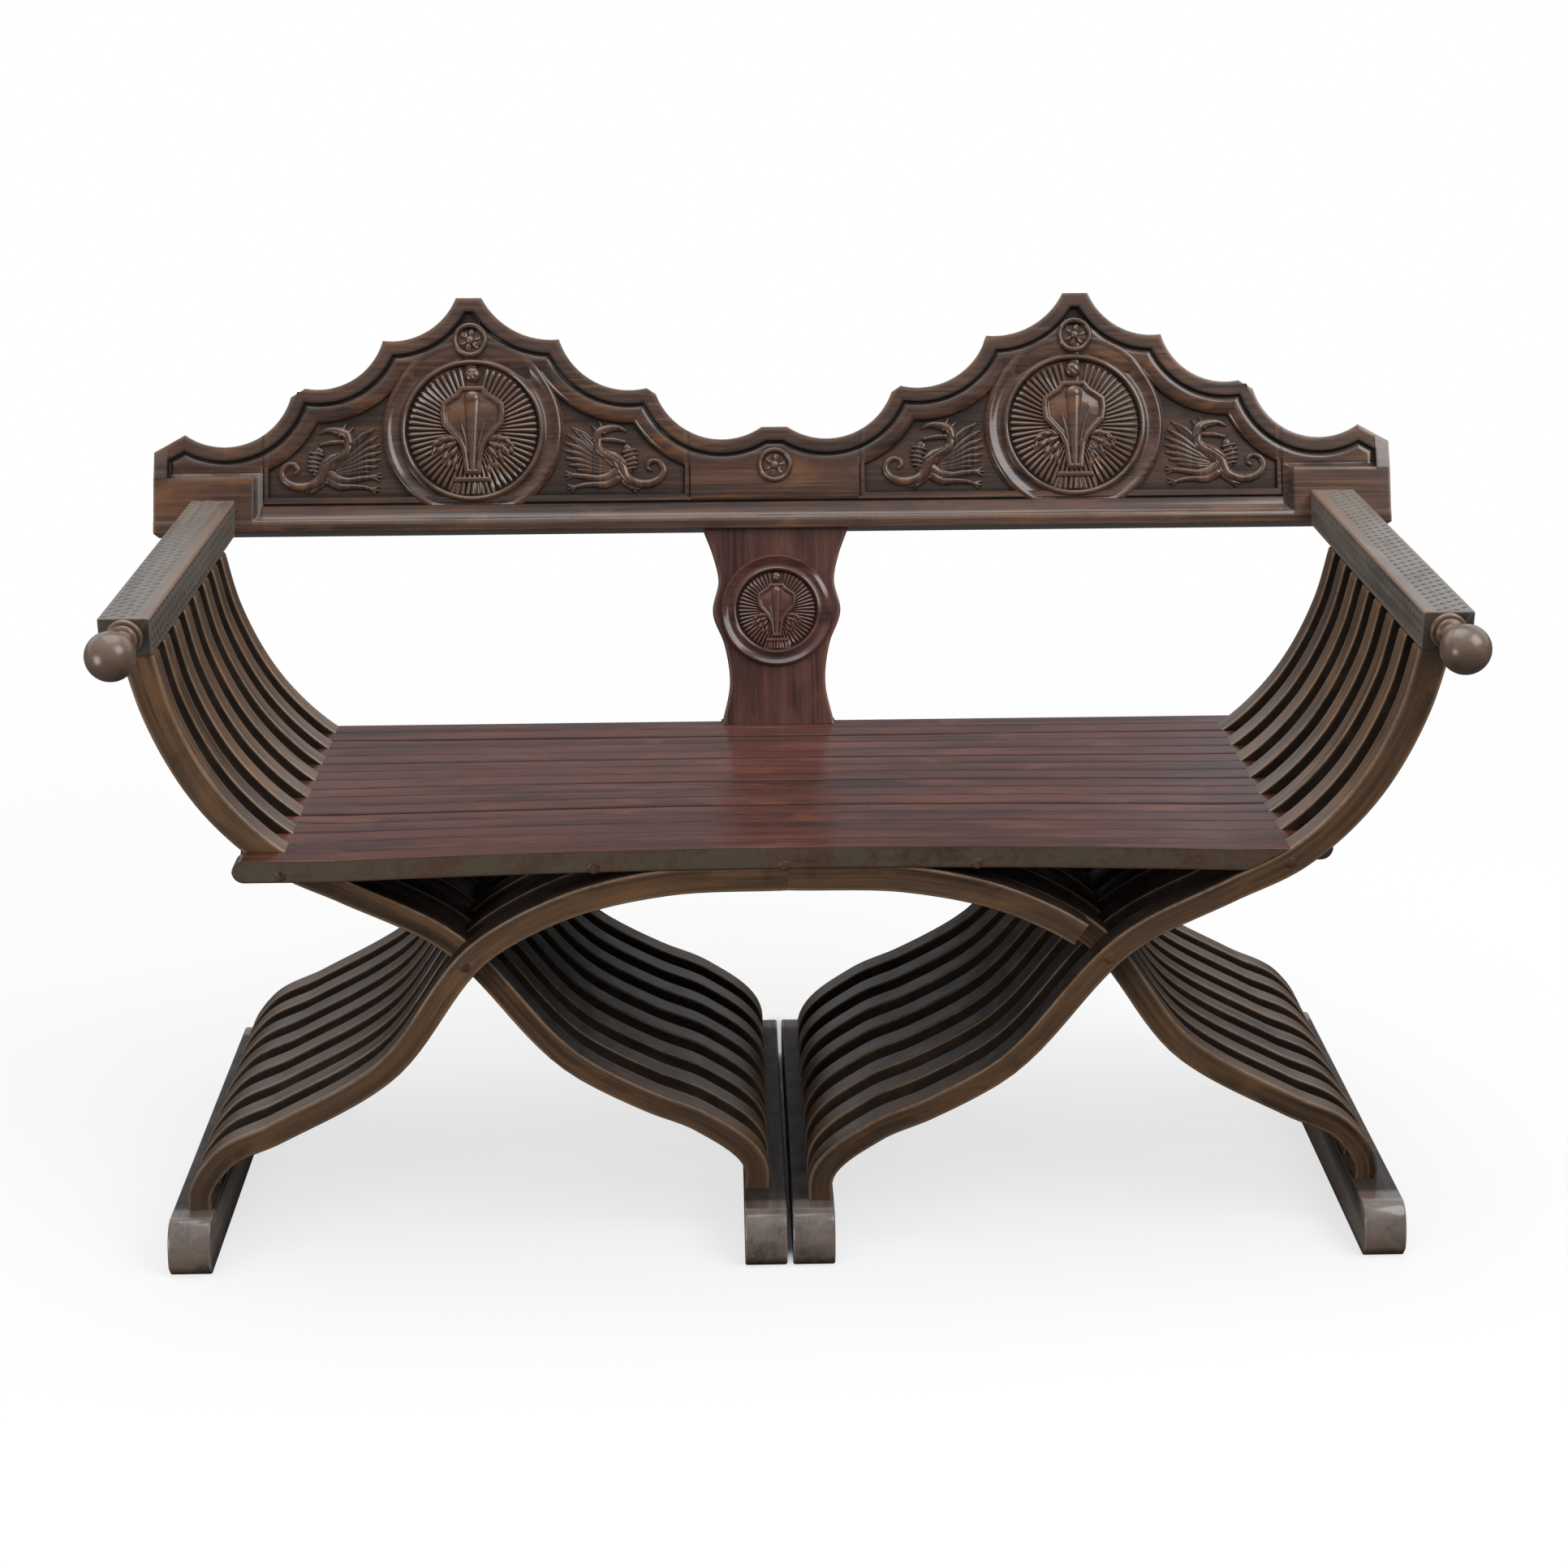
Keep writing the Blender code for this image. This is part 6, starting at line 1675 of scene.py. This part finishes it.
@dataclass
class BackSplat:
    """The shaped board between the seat and the crest rail."""

    thickness: float = 0.020
    setback: float = 0.004
    foot: float = -0.32313
    top: float = -0.0906
    seat_top: float = 0.4533
    widths: tuple = ((0.0, .0665), (.2285, .0560), (.4220, .0620), (.5811, .0750), (.7445, .0680), (.8779, .0745),
                     (1.0, .0850))
    easing: float = 0.0022

    def build(self, plane: RakedPlane, material: bpy.types.Material) -> None:
        """Makes the board.

        Args:
            plane: The plane of the back.
            material: Its finish.
        """
        path = smooth_path([(self.foot + (self.top - self.foot) * share, half) for share, half in self.widths], 14)
        across, deep, add_across, add_deep, worn = eased_ring(self.easing)
        columns = []
        for up, half in path:
            x = across * (half - self.easing) + add_across
            out = deep * (self.thickness / 2 - self.easing) + add_deep - self.thickness / 2 - self.setback
            floor = (self.seat_top - plane.level - out * math.sin(plane.rake)) / math.cos(plane.rake)
            columns.append(np.stack([x, np.maximum(up, floor), out], axis=-1))
        rings = np.array(columns)
        grain = rings[..., [1, 0, 2]]
        shell = loft(rings, grain, np.broadcast_to(worn, rings.shape[:2]))
        mesh = plane.dressed(shell).outward().mesh("splat_board", 30.0)
        enter(as_piece("splat_board", mesh, material), ["splat"])


# Arms


@dataclass
class Arms:
    """The two arms: a chip-carved bar and a turned end with a ball."""

    width: float = 0.052
    height: float = 0.040
    underside: float = 0.664
    step: float = 0.0009
    easing: float = 0.0018
    knob: tuple = ((0.0, 0.004), (12.0, 0.004), (18.5, 0.0), (18.5, -0.0), (18.6, -2.2), (18.0, -3.8), (16.6, -4.8),
                   (13.4, -5.2), (13.2, -5.8), (14.2, -6.6), (14.6, -8.2), (13.8, -10.2), (11.6, -11.4), (10.2, -12.0),
                   (9.6, -13.5), (9.5, -17.0), (9.9, -21.0), (10.8, -25.5), (11.8, -30.0), (12.9, -34.0), (13.8, -37.0),
                   (14.4, -39.6), (14.2, -41.4), (13.6, -42.2))

    def section(self, inner: int) -> tuple[np.ndarray, ...]:
        """The ring of the bar's section, fine where it is carved.

        Args:
            inner: 1 if the sitter's side of the bar is towards +x, or -1.

        Returns:
            Points across and up from the underside's middle, carving coordinates across, cut and wear, the share of
            pale edge from handling and painted highlight.
        """
        half, tall, ease = self.width / 2, self.height, self.easing
        rows = []

        def side(start: Pair, end: Pair, margins: Pair | None, shift: float) -> None:
            """Adds one flat of the ring, from one eased corner to the next, with its plain margins."""
            start, end = np.array(start), np.array(end)
            length = float(np.linalg.norm(end - start))
            count = max(int(length / self.step), 2) if margins else 2
            for k in range(count + 1):
                run = length * k / count
                spot = start + (end - start) * k / count
                cut = 1.0 if margins and margins[0] < run < length - margins[1] else 0.0
                plain_strip = margins and max(margins) > 0.01 and not cut and min(run, length - run) < max(margins)
                rim = 1.0 if min(run, length - run) < 0.0005 else 0.0
                wide = (run if margins[0] > 0.01 else length - run) < max(margins) if plain_strip else False
                rows.append((spot[0], spot[1], run + shift, cut, max(rim, 0.32 if wide else 0.0)))

        plain = (0.012, 0.002) if inner > 0 else (0.002, 0.012)
        side((half, ease), (half, tall - ease), (0.0025, 0.0025), 0.1012)
        side((half - ease, tall), (-half + ease, tall), plain, 0.3036 - plain[0])
        side((-half, tall - ease), (-half, ease), (0.0025, 0.0025), 0.5060)
        side((-half + ease, 0.0), (half - ease, 0.0), None, 0.70)
        return tuple(np.array(column) for column in zip(*rows))

    def bar(self, front: float, plane: RakedPlane, x: float) -> tuple[Shell, np.ndarray]:
        """The bar of one arm, from its front block to the crest rail.

        Args:
            front: Depth of its front face.
            plane: The plane of the back that it ends at.
            x: Its centre line.

        Returns:
            A closed shell and its carving coordinates: along, across and cut.
        """
        across, up, run, cut, wear = self.section(-1 if x > 0.0 else 1)
        shortest = plane.depth + (self.underside - plane.level) * math.tan(plane.rake)
        count = int((shortest - front) / self.step)
        back = plane.depth + (self.underside + up - plane.level) * math.tan(plane.rake) + 0.004
        rings, chips, worn, dark = [], [], [], []
        for k in range(count + 1):
            ease = max(0.0, 0.0016 - (k * self.step)) if k < 3 else 0.0
            along = (shortest - front) * k / count
            carved = 1.0 if 0.003 < along < shortest - front - 0.004 else 0.0
            rings.append(np.stack([x + across * (1.0 - ease / (self.width / 2)), front + (back - front) * k / count,
                                   self.underside + self.height / 2
                                   + (up - self.height / 2) * (1.0 - ease / (self.height / 2))], axis=-1))
            chips.append(np.stack([np.full_like(run, along), run, cut * carved], axis=-1))
            worn.append(np.maximum(wear, 0.8) if k == 1 else wear * min(k, 1))
            dark.append(np.full_like(run, 0.0 if k else 0.72))
        rings = np.array(rings)
        shell = loft(rings, rings[..., [1, 0, 2]] + x, np.array(worn), np.array(dark))
        return shell, np.array(chips).reshape(-1, 3)

    def turned_end(self) -> Shell:
        """The collar, bead, neck and ball, with their axis along y and the bar's front face at 0."""
        rows = [(r / 1000.0, h / 1000.0) for r, h in self.knob]
        ball, reach = 0.025, 0.065
        rows += [(ball * math.sin(a), -reach + ball * math.cos(a)) for a in np.linspace(0.58, math.pi, 26)]
        shell = lathe(rows, 56)
        points = shell.points
        # Pale collar and bead edges with painted highlight, and a paler neck; painted shade in the grooves and where
        # the neck meets the ball.
        wear = np.clip(ridge(points[:, 2], -0.0028, 0.0012) * 0.6 + ridge(points[:, 2], -0.0082, 0.0016) * 0.6
                       + 0.8 * ridge(points[:, 2], -0.0205, 0.009), 0.0, 1.0)
        shade = np.clip(ridge(points[:, 2], -0.0054, 0.0006) + 0.8 * ridge(points[:, 2], -0.0415, 0.0010)
                        + 0.5 * ridge(points[:, 2], -0.0122, 0.0008), 0.0, 1.0)
        return Shell(points[:, [0, 2, 1]], shell.faces, points + 0.9, wear, shade).outward()

    def build(self, plane: RakedPlane, growth: Growth, bar: bpy.types.Material, turned: bpy.types.Material) -> None:
        """Makes both arms.

        Args:
            plane: The plane of the back.
            growth: The Geometry Nodes trees.
            bar: Finish of the carved bars.
            turned: Finish of the turned ends.
        """
        for side in Side:
            node = f"arm_{side.letter}"
            low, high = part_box(node)
            x = (low.x + high.x) / 2
            front = low.y + 0.090
            name = f"arm_bar_{side.letter}"
            shell, cuts = self.bar(front, plane, x)
            base = shell.mesh(name + "_plain", 40.0)
            chip = base.attributes.new("chip", "FLOAT_VECTOR", "POINT")
            chip.data.foreach_set("vector", cuts.astype(np.float32).ravel())
            mesh = grown(name, base, growth.chips, {"Material": bar})
            enter(as_piece(name, mesh, bar), [node])
            end = self.turned_end().moved((x, front, self.underside + self.height / 2))
            name = f"arm_end_{side.letter}"
            enter(as_piece(name, end.mesh(name, 50.0), turned))


# Room


@dataclass
class Studio:
    """The floor, the soft light and the camera."""

    lens: float = 60.01
    place: tuple = (-0.06335, -2.76088, 1.42103)
    right: tuple = (0.999667, -0.025469, -0.004065)
    up: tuple = (0.012424, 0.337405, 0.941278)
    forward: tuple = (0.022602, 0.941015, -0.337609)

    def build(self) -> None:
        """Makes the whole room."""
        self.build_camera()
        self.build_world()
        self.build_floor()
        self.build_lamps()

    def build_camera(self) -> None:
        """Sets the camera where the photograph was taken from."""
        data = bpy.data.cameras.new("Camera")
        data.sensor_width, data.lens = 36.0, self.lens
        camera = bpy.data.objects.new("Camera", data)
        bpy.context.scene.collection.objects.link(camera)
        turn = Matrix((self.right, self.up, [-value for value in self.forward])).transposed()
        camera.matrix_world = Matrix.Translation(self.place) @ turn.to_4x4()
        bpy.context.scene.camera = camera

    def build_world(self) -> None:
        """Lights the room softly from above and behind, and shows white behind the settee."""
        world = bpy.data.worlds.new("Studio")
        bpy.context.scene.world = world
        world.use_nodes = True
        graph = Graph(world.node_tree)
        graph.tree.nodes.clear()
        rays = graph.node("ShaderNodeLightPath").outputs
        way = graph.parts(graph.node("ShaderNodeTexCoord").outputs["Generated"])
        soft = graph.spread(way[2], -0.05, 0.9, 0.18, 0.80)
        aside = graph.spread(graph.math("ABSOLUTE", way[0]), 0.14, 0.30, 0.26, 0.95)
        behind = graph.math("MULTIPLY", aside, graph.spread(way[1], -0.1, 0.5, 0.0, 1.0))
        behind = graph.math("MULTIPLY", behind, graph.spread(way[2], 0.08, 0.26, 0.15, 1.0))
        above = graph.spread(way[2], 0.40, 0.95, 0.10, 0.75)
        front = graph.math("MULTIPLY", graph.spread(way[1], -0.40, -0.05, 1.0, 0.0),
                           graph.spread(way[2], 0.40, 0.75, 0.02, 0.60))
        mirrored = graph.math("MAXIMUM", graph.math("MAXIMUM", behind, above), front)
        level = graph.math("MULTIPLY_ADD", rays["Is Glossy Ray"], graph.math("SUBTRACT", mirrored, soft), soft)
        white = graph.math("ADD", rays["Is Camera Ray"], rays["Is Transmission Ray"], clamp=True)
        strength = graph.math("MULTIPLY_ADD", white, graph.math("SUBTRACT", 1.0, level), level)
        cool = graph.blend(rays["Is Glossy Ray"], (1.0, 1.0, 1.0, 1.0), (0.86, 0.93, 1.0, 1.0))
        sky = graph.node("ShaderNodeBackground", {"Color": cool, "Strength": strength})
        graph.feed(graph.node("ShaderNodeOutputWorld").inputs["Surface"], sky.outputs[0])

    def build_floor(self) -> None:
        """Lays the pale floor, which the camera sees run out into white."""
        mesh = bpy.data.meshes.new("floor")
        reach = 14.0
        mesh.from_pydata([(-reach, -reach, 0.0), (reach, -reach, 0.0), (reach, reach, 0.0), (-reach, reach, 0.0)],
                         [], [(0, 1, 2, 3)])
        material = bpy.data.materials.new("pale_floor")
        material.use_nodes = True
        graph = Graph(material.node_tree)
        seen = graph.node("ShaderNodeLightPath").outputs["Is Camera Ray"]
        away = graph.node("ShaderNodeVectorMath", {0: graph.node("ShaderNodeTexCoord").outputs["Object"]},
                          operation="LENGTH").outputs["Value"]
        shader = graph.tree.nodes["Principled BSDF"]
        graph.feed(shader.inputs["Base Color"], graph.blend(seen, (0.07, 0.07, 0.07, 1.0), (0.9, 0.9, 0.9, 1.0)))
        shader.inputs["Roughness"].default_value = 0.9
        shader.inputs["Specular IOR Level"].default_value = 0.0
        glow = graph.node("ShaderNodeEmission", {"Color": (1.0, 1.0, 1.0, 1.0), "Strength": 1.0})
        x, y, _ = graph.parts(graph.vector("ABSOLUTE", graph.node("ShaderNodeTexCoord").outputs["Object"]))
        # A painted shadow: the floor's glow is taken off in a strip between the inner runners, so that strip shows
        # dark.
        gap_shadow = graph.math("MULTIPLY", graph.spread(x, 0.008, 0.016, 1.0, 0.0), graph.spread(y, 0.28, 0.32, 1.0, 0.0))
        share = graph.math("MULTIPLY", seen, graph.spread(away, 1.0, 2.6, 0.70, 1.0))
        share = graph.math("MULTIPLY", share, graph.math("SUBTRACT", 1.0, gap_shadow))
        mix = graph.node("ShaderNodeMixShader", {0: share, 1: shader.outputs[0], 2: glow.outputs[0]})
        graph.feed(graph.tree.nodes["Material Output"].inputs["Surface"], mix.outputs[0])
        floor = as_piece("floor", mesh, material)

    def build_lamps(self) -> None:
        """Hangs the soft boxes."""
        lamps = (("key", (2.3, -1.6, 3.1), 2.2, 64.0), ("top", (-0.3, 0.5, 3.2), 2.4, 36.0),
                 ("low", (-2.4, -2.0, 0.55), 1.1, 22.0))
        for name, spot, size, power in lamps:
            data = bpy.data.lights.new(name, "AREA")
            data.shape, data.size, data.energy = "SQUARE", size, power
            lamp = bpy.data.objects.new(name, data)
            bpy.context.scene.collection.objects.link(lamp)
            aim = Vector((0.0, 0.0, 0.6)) - Vector(spot)
            lamp.matrix_world = Matrix.Translation(spot) @ aim.to_track_quat("-Z", "Y").to_matrix().to_4x4()


def main() -> None:
    """Builds the settee's looks and the room."""
    logging.basicConfig(level=logging.INFO, format="%(message)s")
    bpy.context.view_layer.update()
    bpy.context.scene.view_settings.view_transform = "Standard"
    Studio().build()
    effects, growth = WoodEffects(), Growth()
    slat, seat, runner, bar, arm, rod, crest, splat = (finish.material(effects) for finish in (
        SLAT, SEAT, RUNNER, BAR, ARM, ROD, CREST, SPLAT))
    base = SlattedBase()
    base.build(growth, slat, seat, rod)
    Runners().build(base, runner)
    plane = RakedPlane()
    CrestRail().build(plane, crest)
    ring = ((75.5, 0.0), (76.4, -0.4), (77.0, 1.0), (77.8, 3.8), (79.2, 5.6), (81.0, 6.4), (82.8, 5.9), (84.4, 4.4),
            (85.4, 2.6), (86.6, 1.9), (88.6, 1.5), (91.0, 1.5), (93.6, 1.9), (96.2, 2.8), (98.6, 3.9), (100.6, 4.6),
            (102.0, 4.9), (103.5, 4.9), (105.0, 4.9), (106.2, 4.8), (107.0, 4.6))
    falling = ((0.0, 0.0), (100.6, 0.0), (102.0, 0.4), (103.5, 1.2), (105.0, 2.6), (106.2, 4.4), (107.0, 6.6))
    for side in Side:
        Medallion(f"medallion_{side.letter}", side.value * 0.355, 0.030, 0.077, 0.107, -0.0065, ring, "crest_walnut", 58,
                  -0.0885, falling).build(plane, growth, crest)
    Dragons().build(plane, crest)
    Rosettes().build(plane, growth, crest)
    BackSplat().build(plane, splat)
    small = ((44.6, 0.0), (45.4, -0.3), (46.0, 0.8), (46.8, 3.0), (48.0, 4.4), (49.4, 4.8), (50.8, 4.2), (51.8, 2.8),
             (53.0, 2.0), (55.0, 1.7), (57.2, 2.0), (59.4, 2.9), (61.4, 4.2), (63.0, 5.0), (64.4, 4.9), (65.5, 3.8),
             (66.0, 1.8))
    Medallion("splat_medallion", 0.0, -0.187, 0.046, 0.066, -0.0035, small, "splat_walnut", 52).build(
        plane, growth, splat)
    Arms().build(plane, growth, bar, arm)
    for rod_node in ("rod_cross_L", "rod_cross_R", "rod_seat_L", "rod_seat_R"):
        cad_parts[rod_node].data.materials.clear()
        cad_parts[rod_node].data.materials.append(rod)


if __name__ == "__main__":
    main()
